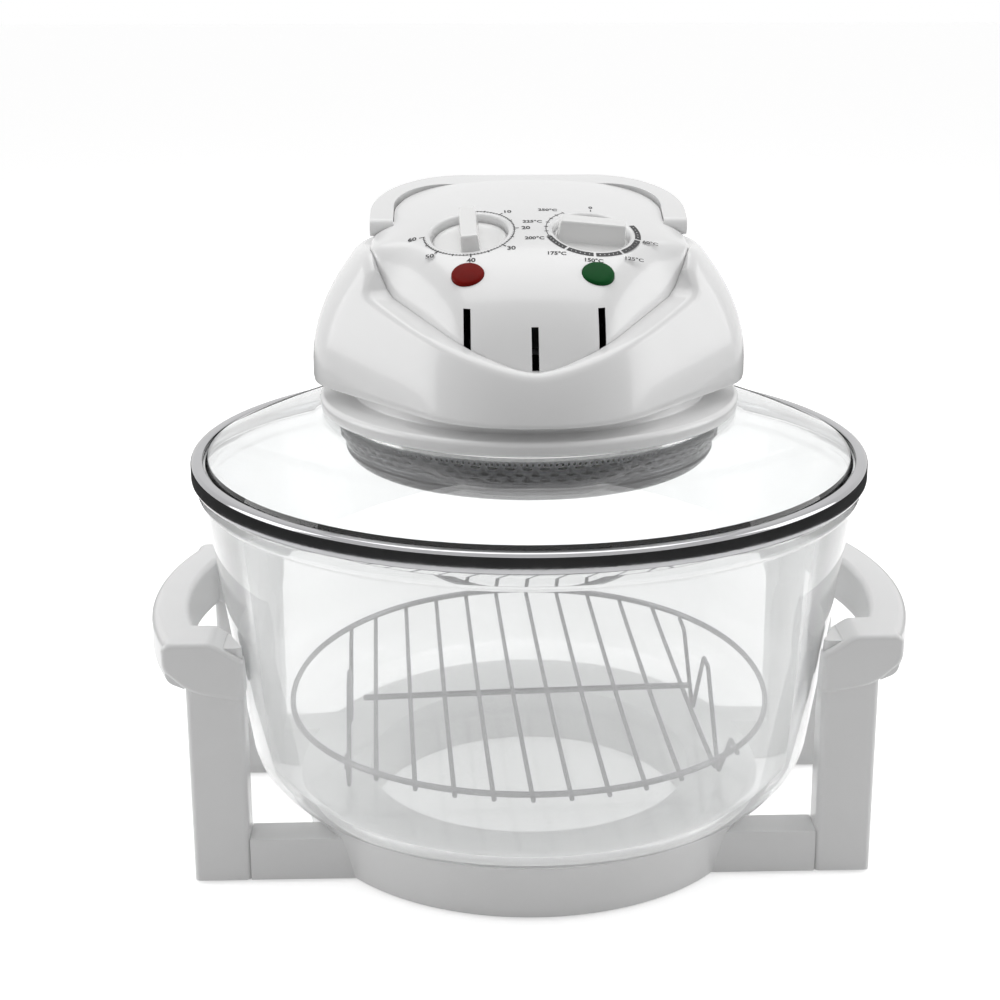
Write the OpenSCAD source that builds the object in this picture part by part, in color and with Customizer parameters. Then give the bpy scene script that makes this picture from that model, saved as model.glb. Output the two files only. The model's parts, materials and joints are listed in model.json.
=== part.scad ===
// Halogen oven: a glass bowl in a stand with two grips, a wire rack on legs, and a lift-off
// lid whose head holds the halogen tube, the fans, the motor and the controls.
// Millimetres. X is right, Y is back, Z is up, and the controls face -Y.
// The origin lies on the table, below the middle of the bowl.

/* [Stand] */
// How far the rubber feet stand out below the mouldings
foot_proud = 1.5; // [0.5:0.5:5]
// Diameter of a rubber foot
foot_d = 14; // [10:1:15]
// Radius of the base ring at its bottom
ring_r = 114.5; // [104:0.5:118]
// Radius of the base ring under the bowl
ring_top_r = 121; // [116:0.5:124]
// Radius of the hole in the base ring
ring_hole_r = 84; // [60:1:95]
// Height of the bowl's seat above the bottom of the mouldings
seat_h = 29; // [26:1:45]
// Wall of the stand's mouldings
stand_wall = 3; // [2:0.5:4]
// How far the posts' outer faces stand out beyond the bowl's lip
post_beyond = 3; // [1:0.5:8]
// Width of a post
post_w = 28; // [24:1:30]
// Depth of a post
post_d = 19; // [16:1:24]
// Distance from the middle to the front and back faces of the posts
post_reach = 72; // [62:1:80]
// Height of the arms between the ring and the posts
arm_h = 22; // [18:1:24]
// Height of the grips above the bottom of the mouldings
grip_top = 128; // [112:1:150]
// Depth of a grip from its top face to its underside
grip_t = 21; // [14:1:24]
// Width of a grip
grip_w = 19; // [14:1:24]
// How far the grips stand proud of the posts
cheek_proud = 4; // [2:0.5:6]
// Height of a grip's cheek on the post
cheek_h = 31; // [28:1:40]

/* [Bowl] */
// Outer radius of the bowl's lip
lip_r = 166; // [163:0.5:170]
// Height of the bowl
bowl_h = 164; // [150:1:190]
// How far the lip stands out beyond the wall under it
lip_out = 2.5; // [1:0.5:5]
// Outer radius of the bowl's wall at its foot
wall_low_r = 145.5; // [140:0.5:152]
// Outer radius of the curve between wall and floor
corner_r = 33; // [22:1:44]
// Thickness of the glass of the bowl
bowl_t = 5; // [3.5:0.5:6]
// Height of the lip
lip_h = 8; // [5:1:12]

/* [Rack] */
// Radius of the rack's ring
rack_r = 124.5; // [110:0.5:127]
// Height of the ring's middle above the bowl's floor
rack_h = 36; // [28:1:60]
// Diameter of the ring's wire
rack_wire = 3; // [2.5:0.1:4]
// Diameter of the bars' wire
bar_wire = 2.4; // [2:0.1:3]
// Number of bars
bar_count = 10; // [6:2:12]
// Distance from one bar to the next
bar_pitch = 18; // [12:1:18]
// Turn of the rack in the bowl, in degrees
rack_turn = 3; // [-20:1:20]
// Distance from the middle to each pair of legs
leg_x = 95; // [94:1:100]
// Distance from the middle to each foot of a leg
leg_foot_y = 37; // [28:1:48]

/* [Lid] */
// How far the steel rim stands out beyond the bowl's lip
rim_out = 3; // [1:0.5:5]
// Height of the steel rim
rim_h = 10; // [8:0.5:14]
// Thickness of the glass of the lid
glass_t = 4; // [3:0.5:5]
// Height of the lid's glass above the bowl, at the collar
dome_h = 33; // [28:1:40]
// Radius of the hole in the lid's glass
lid_hole_r = 98; // [97:0.5:99]
// How far the collar's flange reaches over the glass
collar_over = 6; // [4:0.5:9]
// Height of the collar's flange
collar_h = 7; // [5:0.5:9]
// Height of the groove between the collar and the head
groove_h = 6; // [4:0.5:9]
// How far the top of the heater guard lies inside the hole in the glass
guard_in = 3.5; // [3:0.5:6]
// Depth of the heater guard
guard_h = 24.5; // [22:0.5:32]
// Slots in each row of the guard's wall
guard_slots = 36; // [18:6:48]

/* [Head] */
// Half the width of the head
head_x = 107; // [100:0.5:112]
// Distance from the middle to the front of the head
head_front = 104; // [100:0.5:110]
// Distance from the middle to the back of the head
head_back = 98; // [94:0.5:106]
// Wall of the head's mouldings
shell_t = 2.5; // [2:0.1:3.5]
// Height of the head's lower shell at the middle of its front
front_lip = 24; // [20:0.5:30]
// Height of the head's lower shell at its sides and back
side_lip = 66; // [62:0.5:68]
// Half the width of the control cover
cover_x = 77; // [74:0.5:78]
// Distance from the middle to the front of the control cover
cover_front = 88; // [84:0.5:90]
// Distance from the middle to the back of the control cover
cover_back = 62; // [58:0.5:64]
// Height of the back of the control cover above the head's bottom
cover_top = 92; // [88:0.5:100]
// How far the control cover falls from back to front
cover_fall = 70; // [66:0.5:74]
// Radius of the control cover's crown, from side to side
crown_r = 300; // [240:10:400]

/* [Controls] */
// Distance from the middle to each knob
knob_x = 29.5; // [27:0.5:33]
// Distance of the knobs in front of the middle
knob_y = 18.6; // [12:0.2:24]
// Diameter of a knob's skirt
knob_d = 35; // [28:0.5:38]
// Width of a knob's finger bar
knob_bar = 9; // [6:0.5:12]
// Height of a knob's finger bar above its skirt
knob_bar_h = 12; // [8:0.5:18]
// Depth of the recess that a knob sits in
recess_depth = 4; // [3:0.2:5]
// Diameter of a knob's spindle
spindle_d = 6; // [5:0.2:7]
// Distance from the middle to each lamp
lamp_x = 30.4; // [24:0.2:36]
// Distance of the lamps in front of the middle
lamp_y = 52.7; // [48:0.1:58]
// Diameter of a lamp's lens
lens_d = 15.3; // [10:0.1:18]
// Width of a vent slot
vent_w = 3.3; // [2:0.1:5]

/* [Handle] */
// Half the width of the carry handle
bail_x = 78; // [76:0.5:79]
// Width of the carry handle's bar
bail_w = 11.5; // [9:0.5:13]
// Thickness of the carry handle's bar
bail_t = 9; // [7:0.5:10]
// Length of the carry handle from its pivot
bail_l = 53; // [48:0.5:56]
// Slope of the folded carry handle, in degrees
bail_slope = 15; // [12:0.5:18]
// Distance of the pivot behind the middle
pivot_y = 9; // [6:0.5:12]
// Height of the pivot above the head's bottom
pivot_h = 73.5; // [72:0.5:75]
// Diameter of a pivot pin
pin_d = 5; // [4:0.2:6]

/* [Inside] */
// Radius of the halogen tube's ring
tube_ring_r = 62; // [54:1:66]
// Diameter of the halogen tube
tube_d = 10; // [8:0.5:12]
// Radius of the fan in the oven
hot_fan_r = 40; // [30:1:44]
// Blades of the fan in the oven
hot_blades = 8; // [6:1:12]
// Radius of the fan that cools the motor
cool_fan_r = 38; // [30:1:40]
// Blades of the fan that cools the motor
cool_blades = 7; // [5:1:9]
// Diameter of the motor's shaft
shaft_d = 6; // [5:0.2:7]
// Width of the motor's iron
stator_x = 60; // [54:1:64]
// Height of the motor's iron
stator_h = 16; // [12:1:18]

/* [Hidden] */
$fn = 64;

// Clearance between pieces that rest on each other, and round what turns
seat_gap = 0.3;
run_gap = 0.4;
// Overlap of a cutting shape past the face that it cuts
past = 1;

// Stand
post_out = lip_r + post_beyond;
post_in = post_out - post_w;
post_y = post_reach - post_d / 2;
grip_r = post_out + 4;
grip_bottom = grip_top - grip_t;
bowl_clear = 2.5;
lug_h = 6;
lug_z = 8;
lug_w = post_d - 2 * stand_wall - 2 * seat_gap;
lug_x = post_in + 14;
screw_x = post_in + 7;
screw_d = 4;
foot_x = post_out - foot_d / 2 - 2;

// Heights above the table
seat_z = foot_proud + seat_h;
bowl_z = seat_z + seat_gap;
floor_z = bowl_z + bowl_t;
lid_z = bowl_z + bowl_h + seat_gap;
rack_z = floor_z + rack_h;

// Bowl: the corner's arc, and where the straight wall touches it
wall_top_r = lip_r - lip_out;
corner_x = wall_low_r - corner_r;
corner_to_top = [wall_top_r - corner_x, bowl_h - lip_h - corner_r];
wall_turn = atan2(corner_to_top[1], corner_to_top[0]) - acos(corner_r / norm(corner_to_top));

// Lid, measured up from the bowl's lip
rim_r = lip_r + rim_out;
collar_r = lid_hole_r + collar_over;
guard_r = lid_hole_r - guard_in;
shelf_t = 2.5;
shelf_r = lid_hole_r - 14;
flange_z = dome_h + seat_gap;
shelf_z = flange_z;
neck_z = flange_z + collar_h;
head_z = neck_z + groove_h;
neck_r = shelf_r + 3;
neck_in_r = shelf_r - 6;
floor_hole_r = shelf_r - 2;
sheet_t = 1;
guard_z = shelf_z - 2 * sheet_t - guard_h;
tube_z = guard_z + 12;
dish_rise = 7;
dish_r = 60;
dish_z = shelf_z - sheet_t;

// Head
body_steps = 5;
straight_steps = 4;
lip_bend = 4;
lip_slope = 0.41;
fold_t = 2.4;
cup_t = 2.5;
recess_d = knob_d + 3.5;
recess_floor = -recess_depth;
lens_proud = 1;
chassis_t = 1.5;
chassis_z = head_z + shell_t;
boss_r = 4.5;
boss_at = [[50, -37], [50, 37]];
boss_bore = 16;

// Motor, measured up from the bowl's lip
bracket_t = 1.5;
fan_z = chassis_z + chassis_t + 1.5;
bracket_h = 14;
bracket_w = 40;
stator_z = chassis_z + chassis_t + bracket_h;
stator_y = 50;
rotor_d = 25;
shaft_top = stator_z + stator_h + 7;
hot_fan_h = 7;
hot_fan_z = tube_z + 7;

// Power inlet at the back of the head
inlet_w = 27;
inlet_h = 20;
inlet_z = 26;

function unit(v) = v / norm(v);
function turned(v, t) = [v[0] * cos(t) - v[1] * sin(t), v[0] * sin(t) + v[1] * cos(t)];
function clamp01(t) = max(0, min(1, t));
function smooth(t) = clamp01(t) * clamp01(t) * (3 - 2 * clamp01(t));

// Arc of radius r that rounds corner p between its neighbours a and b
function corner_arc(p, a, b, r, n) =
    let (u = unit(a - p), w = unit(b - p), half = acos(u * w) / 2,
         c = p + unit(u + w) * r / sin(half), s = p + u * r / tan(half) - c)
    [for (i = [0:n]) c + turned(s, (180 - 2 * half) * i / n)];

// Outline of a convex polygon v with its corners rounded, with m more points on each straight
function rounded(v, r, n, m) =
    let (k = len(v),
         arcs = [for (i = [0:k - 1]) corner_arc(v[i], v[(i + k - 1) % k], v[(i + 1) % k], r, n)])
    [for (i = [0:k - 1]) each concat(arcs[i],
        [for (j = [1:m]) arcs[i][n] + (arcs[(i + 1) % k][0] - arcs[i][n]) * j / (m + 1)])];

// Eight-sided plan: half widths of the front, sides and back, and the reach to each
function plan(front_x, front, side_x, side_y0, side_y1, back_x, back, r) =
    rounded([[front_x, -front], [side_x, side_y0], [side_x, side_y1], [back_x, back],
             [-back_x, back], [-side_x, side_y1], [-side_x, side_y0], [-front_x, -front]],
            r, body_steps, straight_steps);
function at_height(points, z) = [for (p = points) [p[0], p[1], z]];

// Plan of the head's lower shell at height h above its bottom
function body_x(h) = head_x - 27.5 * pow(max(0, h - 10) / 60, 2);
function body_front(h) = head_front - 4 * (h / 24) - 4 * pow(h / 24, 2);
function body_back(h) = head_back - 28 * pow(h / 70, 2);
function body_back_x(h) = 50 + 14 * pow(h / 70, 2);
function body_plan(h, inset) =
    plan(34 - inset / 2, body_front(h) - inset, body_x(h) - inset, -15, 15,
         body_back_x(h) - inset / 2, body_back(h) - inset, 34);

// Height of the lower shell's edge beside point p of the cover's plan: a curve across the
// front, and level along the sides and the back
function lip_height(p) =
    let (rise = norm([lip_bend, lip_slope * p[0]]) - lip_bend)
    front_lip + rise + (side_lip - front_lip - rise) * smooth((p[1] + 32) / 18);
lips = [for (p = cover_plan(0)) lip_height(p)];

// Plan of the control cover, and height of its face over the head's bottom
function cover_plan(grow) = plan(27, cover_front + grow, cover_x + grow, -16, 10,
                                 57, cover_back + grow, 24);
function face_fall(u) = 0.115 * u + 0.515 * pow(u, 2) + 0.37 * pow(u, 10);
function along(y) = (cover_back - y) / (cover_back + cover_front);
function face_h(x, y) = cover_top - cover_fall * face_fall(along(y)) - x * x / (2 * crown_r);
function face_slope(y) =
    let (u = along(y)) cover_fall / (cover_back + cover_front)
        * (0.115 + 1.03 * u + 3.7 * pow(u, 9));

// Point of the cover's face at share s of the way from its middle to point p of its plan
edge_start = 0.72;
edge_proud = 1;
cover_mid = [0, -10];
function edge_round(s) =
    let (e = max(0, s - edge_start) / (1 - edge_start)) 1 - sqrt(max(0, 1 - e * e));
function face_point(p, s, lower) =
    let (q = cover_mid + (p - cover_mid) * s,
         fall = max(0, face_h(p[0], p[1]) - lip_height(p) - edge_proud))
    [q[0], q[1], face_h(q[0], q[1]) - lower - fall * edge_round(s)];

// Closed skin through rings of points: the last ring joins the first
module ring_skin(rows) {
    n = len(rows[0]);
    m = len(rows);
    polyhedron([for (r = rows) each r],
        [for (j = [0:m - 1], i = [0:n - 1])
            let (a = j * n + i, b = j * n + (i + 1) % n, up = ((j + 1) % m) * n)
            each [[a, up + i, up + (i + 1) % n], [a, up + (i + 1) % n, b]]]);
}

// Closed skin through rings of points from the lowest to the highest, with a point at each end
module capped_skin(rows, low, high) {
    n = len(rows[0]);
    m = len(rows);
    polyhedron(concat([for (r = rows) each r], [low, high]),
        concat(
            [for (j = [0:m - 2], i = [0:n - 1])
                let (a = j * n + i, b = j * n + (i + 1) % n)
                each [[a, a + n, b + n], [a, b + n, b]]],
            [for (i = [0:n - 1]) [m * n, i, (i + 1) % n]],
            [for (i = [0:n - 1]) [m * n + 1, (m - 1) * n + (i + 1) % n, (m - 1) * n + i]]));
}

// Box with rounded upright edges, on its own middle
module upright_box(size, r) {
    linear_extrude(size[2]) round_rect(size[0], size[1], r);
}

module round_rect(w, d, r) {
    square([w - 2 * r, d], center = true);
    square([w, d - 2 * r], center = true);
    for (x = [-1, 1], y = [-1, 1])
        translate([x * (w / 2 - r), y * (d / 2 - r)])
            circle(r);
}

module tube(r, bore_r, h) {
    difference() {
        cylinder(r = r, h = h);
        translate([0, 0, -past])
            cylinder(r = bore_r, h = h + 2 * past);
    }
}

// Straight piece of wire with round ends
module wire(a, b, d) {
    v = b - a;
    translate(a)
        rotate([0, acos(v[2] / norm(v)), atan2(v[1], v[0])])
            cylinder(d = d, h = norm(v));
}

module on_lid(z) {
    translate([0, 0, lid_z + z])
        children();
}

// Places a child on the cover's face at x, y, with its Z axis square to the face
module on_face(x, y) {
    roll = atan(x / crown_r);
    on_lid(head_z)
        translate([x, y, face_h(x, y)])
            rotate([atan(face_slope(y) * cos(roll)), roll, 0])
                children();
}

// STAND

// Ring that carries the bowl, with an open underside, and its four hollow arms
module stand_base() {
    arm_in = sqrt(pow(ring_r, 2) - pow(post_reach, 2)) - 6;
    color("gainsboro")
        translate([0, 0, foot_proud])
            difference() {
                union() {
                    cylinder(r1 = ring_r, r2 = ring_top_r, h = seat_h);
                    for (x = [-1, 1], y = [-1, 1])
                        scale([x, y, 1])
                            arm(arm_in);
                }
                translate([0, 0, -past])
                    cylinder(r = ring_hole_r, h = seat_h + 2 * past);
                difference() {
                    translate([0, 0, -past])
                        cylinder(r1 = ring_r - stand_wall, r2 = ring_top_r - stand_wall - 1,
                                 h = seat_h - stand_wall + past);
                    translate([0, 0, -2 * past])
                        cylinder(r = ring_hole_r + stand_wall, h = seat_h + 2 * past);
                    for (a = [0:45:315])
                        rotate(a)
                            translate([ring_hole_r, -stand_wall / 2, 0])
                                cube([ring_r, stand_wall, seat_h]);
                }
            }
}

// One hollow arm at +X, +Y, from inside the ring to the post, with the lug that the post takes
module arm(arm_in) {
    difference() {
        translate([arm_in, post_y - post_d / 2, 0])
            cube([post_in - arm_in, post_d, arm_h]);
        translate([arm_in - past, post_y - post_d / 2 + stand_wall, -past])
            cube([post_in - arm_in - stand_wall + past, post_d - 2 * stand_wall,
                  arm_h - stand_wall + past]);
        translate([0, 0, -2 * past])
            cylinder(r = ring_r - stand_wall, h = arm_h + 4 * past);
    }
    difference() {
        translate([post_in - 2 * stand_wall, post_y - lug_w / 2, lug_z])
            cube([lug_x - post_in + 2 * stand_wall, lug_w, lug_h]);
        translate([screw_x, post_y, lug_z - past])
            cylinder(d = screw_d + seat_gap, h = lug_h + 2 * past);
    }
}

// Room for the bowl, with clearance: the bowl's outside, grown and carried on upwards
module bowl_room() {
    grow = bowl_clear;
    translate([0, 0, bowl_z])
        rotate_extrude($fn = 128)
            polygon(concat([[0, -grow]], bowl_side(grow),
                [[wall_top_r + grow, bowl_h + past], [0, bowl_h + past]]));
}

// One post, hollow, for +X and +Y, with a slot for the arm's lug and a recess for the foot
module post() {
    top = grip_top - stand_wall - 1;
    translate([0, 0, foot_proud])
        difference() {
            translate([post_in + post_w / 2, post_y, 0])
                upright_box([post_w, post_d, top], 3);
            translate([post_out - stand_wall - hollow_w / 2, post_y, lug_z + lug_h + stand_wall])
                upright_box([hollow_w, post_d - 2 * stand_wall, top], 1);
            translate([post_in - past, post_y - post_d / 2 + stand_wall, lug_z - seat_gap])
                cube([lug_x - post_in + past + seat_gap, post_d - 2 * stand_wall,
                      lug_h + 2 * seat_gap]);
            translate([screw_x, post_y, -past])
                cylinder(d = screw_d + seat_gap, h = lug_z + 2 * past);
            translate([screw_x, post_y, -past])
                cylinder(d = screw_head_d + 1, h = screw_head_h + past);
            translate([foot_x, post_y, -past])
                cylinder(d = foot_d, h = foot_in + past);
            translate([0, 0, -foot_proud])
                bowl_room();
        }
}
hollow_w = post_w - 4.5 * stand_wall;
foot_in = 2.5;
screw_head_d = 7;
screw_head_h = 2.6;

module left_front_post() {
    color("gainsboro")
        mirror([1, 0, 0])
            mirror([0, 1, 0])
                post();
}

module left_rear_post() {
    color("gainsboro")
        mirror([1, 0, 0])
            post();
}

module right_front_post() {
    color("gainsboro")
        mirror([0, 1, 0])
            post();
}

module right_rear_post() {
    color("gainsboro")
        post();
}

// Grip at +X: a curved bar between two cheeks that cap the posts
module grip() {
    reach = post_reach + cheek_proud;
    cheek_d = post_d + 2 * cheek_proud;
    translate([0, 0, foot_proud])
        difference() {
            union() {
                intersection() {
                    rotate_extrude($fn = 128)
                        translate([grip_r + grip_w / 2, grip_bottom + grip_t / 2])
                            round_rect(grip_w, grip_t, 6);
                    translate([0, -reach, 0])
                        cube([2 * grip_r, 2 * reach, 2 * grip_top]);
                }
                for (y = [-1, 1])
                    translate([0, y * post_y, 0])
                        rotate([90, 0, 0])
                            translate([0, 0, -cheek_d / 2])
                                linear_extrude(cheek_d)
                                    cheek_outline();
            }
            for (y = [-1, 1])
                translate([post_in + post_w / 2, y * post_y, -past])
                    upright_box([post_w + 2 * seat_gap, post_d + 2 * seat_gap,
                                 grip_top - stand_wall - 1 + past + seat_gap], 3);
            translate([0, 0, -foot_proud])
                bowl_room();
        }
}

// Front view of a cheek: flat on top, cut back towards the bowl, curved below
module cheek_outline() {
    reach = post_reach + cheek_proud;
    out_x = sqrt(pow(grip_r + grip_w, 2) - pow(reach, 2)) + 3;
    in_x = sqrt(pow(grip_r, 2) - pow(reach, 2));
    low = grip_top - cheek_h;
    polygon([[out_x - 3, grip_top], [in_x, grip_top], [post_in - 1, grip_top - 10],
             [post_in - 1, low], [post_in + 12, low + 2], [post_out, low + 8],
             [out_x - 4, low + 12], [out_x, low + 18], [out_x, grip_top - 4]]);
}

module right_grip() {
    color("whitesmoke")
        grip();
}

module left_grip() {
    color("whitesmoke")
        mirror([1, 0, 0])
            grip();
}

module pan_screw(length) {
    cylinder(d = screw_d, h = length);
    translate([0, 0, -screw_head_h + 0.6])
        cylinder(d = screw_head_d, h = screw_head_h - 0.6);
}

module frame_screws() {
    color("silver")
        for (x = [-1, 1], y = [-1, 1])
            translate([x * screw_x, y * post_y, foot_proud + screw_head_h])
                pan_screw(lug_z + lug_h - screw_head_h);
}

module rubber_feet() {
    color("dimgray")
        for (x = [-1, 1], y = [-1, 1])
            translate([x * foot_x, y * post_y, 0]) {
                cylinder(d1 = foot_d - 2, d2 = foot_d - 0.4, h = foot_proud);
                translate([0, 0, foot_proud])
                    cylinder(d = foot_d - 0.4, h = foot_in);
            }
}

// BOWL

// Outside of the bowl from the edge of its flat floor up to its lip, grown by g
function bowl_side(g) =
    let (c = [corner_x, corner_r], r = corner_r + g)
    concat([for (i = [0:12]) let (a = -90 + (90 + wall_turn) * i / 12)
                c + r * [cos(a), sin(a)]],
           [[wall_top_r, bowl_h - lip_h] + g * [cos(wall_turn), sin(wall_turn)]]);

module glass_bowl() {
    inner = bowl_side(-bowl_t);
    wall_up = [-sin(wall_turn), cos(wall_turn)];
    top_in = inner[13] + wall_up * (bowl_h - inner[13][1]) / wall_up[1];
    color("lightcyan", 0.5)
        translate([0, 0, bowl_z])
            rotate_extrude($fn = 128)
                polygon(concat([[0, 0]], bowl_side(0),
                    [[lip_r, bowl_h - lip_h + 1.5], [lip_r, bowl_h - 1.5], [lip_r - 1.5, bowl_h]],
                    [top_in + [1, 0]], [top_in - wall_up * 2],
                    [for (i = [12:-1:0]) inner[i]], [[0, bowl_t]]));
}

// RACK

module rack_grate() {
    drop = (rack_wire + bar_wire) / 2 - 0.5;
    cross_x = (bar_count / 2) * bar_pitch - 3;
    color("silver")
        translate([0, 0, rack_z])
            rotate(rack_turn) {
                rotate_extrude()
                    translate([rack_r, 0])
                        circle(d = rack_wire);
                for (i = [0:bar_count - 1]) {
                    x = (i - (bar_count - 1) / 2) * bar_pitch;
                    y = sqrt(rack_r * rack_r - x * x) + rack_wire / 2;
                    wire([x, -y, -drop], [x, y, -drop], bar_wire);
                }
                wire([-cross_x, 0, -drop - bar_wire + 0.6],
                     [cross_x, 0, -drop - bar_wire + 0.6], rack_wire);
            }
}

// How much the wire swells where it is bent
bend_swell = 0.5;

// Each pair of feet is one wire: down, up over the ring's plane, and down again
module rack_legs() {
    foot_z = floor_z + seat_gap + (bar_wire + bend_swell) / 2;
    ring_y = sqrt(rack_r * rack_r - leg_x * leg_x);
    low = rack_z - (rack_wire + bar_wire) / 2;
    path = [[-ring_y - 1, low], [-ring_y + 14, low], [-leg_foot_y, foot_z], [-6, rack_z + 8],
            [6, rack_z + 8], [leg_foot_y, foot_z], [ring_y - 14, low], [ring_y + 1, low]];
    color("silver")
        rotate(rack_turn)
            for (x = [-leg_x, leg_x]) {
                for (i = [0:len(path) - 2])
                    wire([x, path[i][0], path[i][1]], [x, path[i + 1][0], path[i + 1][1]],
                         bar_wire);
                for (i = [1:len(path) - 2])
                    translate([x, path[i][0], path[i][1]])
                        sphere(d = bar_wire + bend_swell);
            }
}

// LID

// Steel channel round the edge of the lid's glass
module lid_rim() {
    color("silver")
        on_lid(0)
            rotate_extrude($fn = 128)
                difference() {
                    union() {
                        translate([rim_r - 6, 0])
                            square([4.5, rim_h]);
                        translate([rim_r - 3, 1.5])
                            square([3, rim_h - 3]);
                        for (z = [1.5, rim_h - 1.5])
                            translate([rim_r - 1.5, z])
                                circle(1.5, $fn = 32);
                    }
                    translate([rim_r - 7, rim_h - glass_t - 2 - seat_gap])
                        square([7 - 1.5, glass_t + 2 * seat_gap]);
                }
}

// Middle line of the domed glass, from its edge to the collar
function dome(t) = let (r = rim_r - 2 - (rim_r - 2 - lid_hole_r - 4) * t)
    [r, rim_h - 2 - glass_t + (dome_h - rim_h + 2) * (1.25 * t - 0.25 * t * t)];

module lid_glass() {
    edge = rim_r - 1.5 - seat_gap;
    base = rim_h - 2 - glass_t;
    top = dome_h - glass_t;
    color("lightcyan", 0.4)
        on_lid(0)
            rotate_extrude($fn = 128)
                polygon(concat(
                    [[edge, base]],
                    [[edge, base + glass_t]], [[rim_r - 7, base + glass_t]],
                    [for (i = [2:9]) dome(i / 10) + [0, glass_t]],
                    [[lid_hole_r + 4, dome_h], [lid_hole_r, dome_h], [lid_hole_r, top],
                     [lid_hole_r + 4, top]],
                    [for (i = [9:-1:2]) dome(i / 10)], [[rim_r - 7, base]]));
}

// Moulded collar: a flange on the glass, a neck under the head, and a shelf for the heater
module lid_collar() {
    color("whitesmoke")
        on_lid(0)
            rotate_extrude($fn = 128)
                union() {
                    translate([shelf_r, flange_z + 1.5])
                        square([collar_r - shelf_r, collar_h - 3]);
                    translate([shelf_r, flange_z])
                        square([collar_r - shelf_r - 1.5, collar_h]);
                    for (z = [flange_z + 1.5, neck_z - 1.5])
                        translate([collar_r - 1.5, z])
                            circle(1.5, $fn = 32);
                    translate([neck_in_r, neck_z - shelf_t])
                        square([shelf_r - neck_in_r + past, shelf_t]);
                    translate([neck_in_r, neck_z - past])
                        square([neck_r - neck_in_r, groove_h + past]);
                    translate([lid_hole_r - seat_gap - 2, flange_z - 3])
                        square([2, 3 + past]);
                }
}

// Pressed and punched dish under the heater, hung from the shelf
module heater_guard() {
    turn_r = 9;
    low_r = guard_r - 3;
    slot = [7, 4];
    color("silver")
        on_lid(guard_z)
            difference() {
                rotate_extrude($fn = 128)
                    difference() {
                        union() {
                            polygon([[0, 0], [low_r - turn_r, 0], [low_r, turn_r],
                                     [guard_r, guard_h], [guard_r, guard_h + sheet_t],
                                     [shelf_r + 1, guard_h + sheet_t], [0, guard_h + sheet_t]]);
                            translate([low_r - turn_r, turn_r])
                                circle(turn_r, $fn = 64);
                        }
                        polygon([[-1, sheet_t], [low_r - turn_r, sheet_t],
                                 [low_r - sheet_t, turn_r], [guard_r - sheet_t, guard_h],
                                 [shelf_r + 1, guard_h], [shelf_r + 1, guard_h + 2],
                                 [-1, guard_h + 2]]);
                        translate([low_r - turn_r, turn_r])
                            circle(turn_r - sheet_t, $fn = 64);
                        translate([-guard_r, -past])
                            square([guard_r, guard_h + 5]);
                    }
                for (i = [0:guard_slots - 1], row = [0, 1])
                    rotate((i + row / 2) * 360 / guard_slots)
                        translate([low_r - 4, -slot[0] / 2, turn_r + 2 + row * 6])
                            cube([12, slot[0], 2.4]);
                for (ring = [1:3], i = [0:8 * ring + 3])
                    rotate(i * 360 / (8 * ring + 4))
                        translate([14 + 18 * ring, 0, -past])
                            linear_extrude(sheet_t + 2 * past)
                                square([10, 4], center = true);
            }
}

module guard_screws() {
    color("silver")
        on_lid(guard_z + guard_h)
            for (a = [45:90:315])
                rotate(a)
                    translate([guard_screw_r, 0, -2])
                        cylinder(d = 5, h = 2);
}
guard_screw_r = guard_r - 5;

module reflector_dish() {
    color("silver")
        on_lid(dish_z)
            difference() {
                rotate_extrude($fn = 128)
                    polygon([[9, dish_rise], [dish_r, dish_rise], [shelf_r - 2, 0],
                             [guard_screw_r + 4, 0], [guard_screw_r + 4, sheet_t],
                             [shelf_r - 2, sheet_t], [dish_r, dish_rise + sheet_t],
                             [9, dish_rise + sheet_t]]);
                translate([0, -probe_r, -past])
                    cylinder(d = probe_d + 2 * run_gap, h = dish_rise + 2 * past);
            }
}
probe_r = 50;
probe_d = 4;

// Nearly a full ring, with both ends turned up into the end caps
module halogen_tube() {
    color("white", 0.7)
        on_lid(tube_z) {
            rotate(90 + tube_gap)
                rotate_extrude(angle = 360 - 2 * tube_gap)
                    translate([tube_ring_r, 0])
                        circle(d = tube_d);
            for (a = [-tube_gap, tube_gap])
                rotate(90 + a)
                    translate([tube_ring_r, 0, 0]) {
                        sphere(d = tube_d);
                        cylinder(d = tube_d, h = tube_up);
                    }
        }
}
tube_gap = 18;
tube_up = 10;

// Ceramic caps on the tube's ends, seated under the reflector
module lamp_end_caps() {
    cap_z = tube_z + tube_d / 2 + seat_gap;
    top = dish_z + dish_fall(tube_ring_r + 7.5);
    color("ivory")
        on_lid(cap_z)
            for (a = [-tube_gap, tube_gap])
                rotate(90 + a)
                    translate([tube_ring_r, 0, 0])
                        difference() {
                            cylinder(d = 15, h = top - cap_z);
                            translate([0, 0, -past])
                                cylinder(d = tube_d + 2 * seat_gap,
                                         h = tube_z + tube_up + seat_gap - cap_z + past);
                        }
}

// Height of the reflector's underside over its rim, at radius r
function dish_fall(r) = dish_rise * clamp01((shelf_r - 2 - r) / (shelf_r - 2 - dish_r));

// Spring clips that hold the tube under the reflector
module lamp_clips() {
    color("silver")
        on_lid(tube_z)
            for (a = [210, 330])
                rotate(a)
                    translate([tube_ring_r, 0, 0]) {
                        rotate([90, 0, 0])
                            translate([0, 0, -3])
                                tube(tube_d / 2 + 1.5, tube_d / 2 + 0.2, 6);
                        translate([-1, -3, tube_d / 2 + 0.7])
                            cube([2, 6, dish_z + dish_fall(tube_ring_r + 1) - tube_z
                                       - tube_d / 2 - 0.7]);
                    }
}

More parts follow.
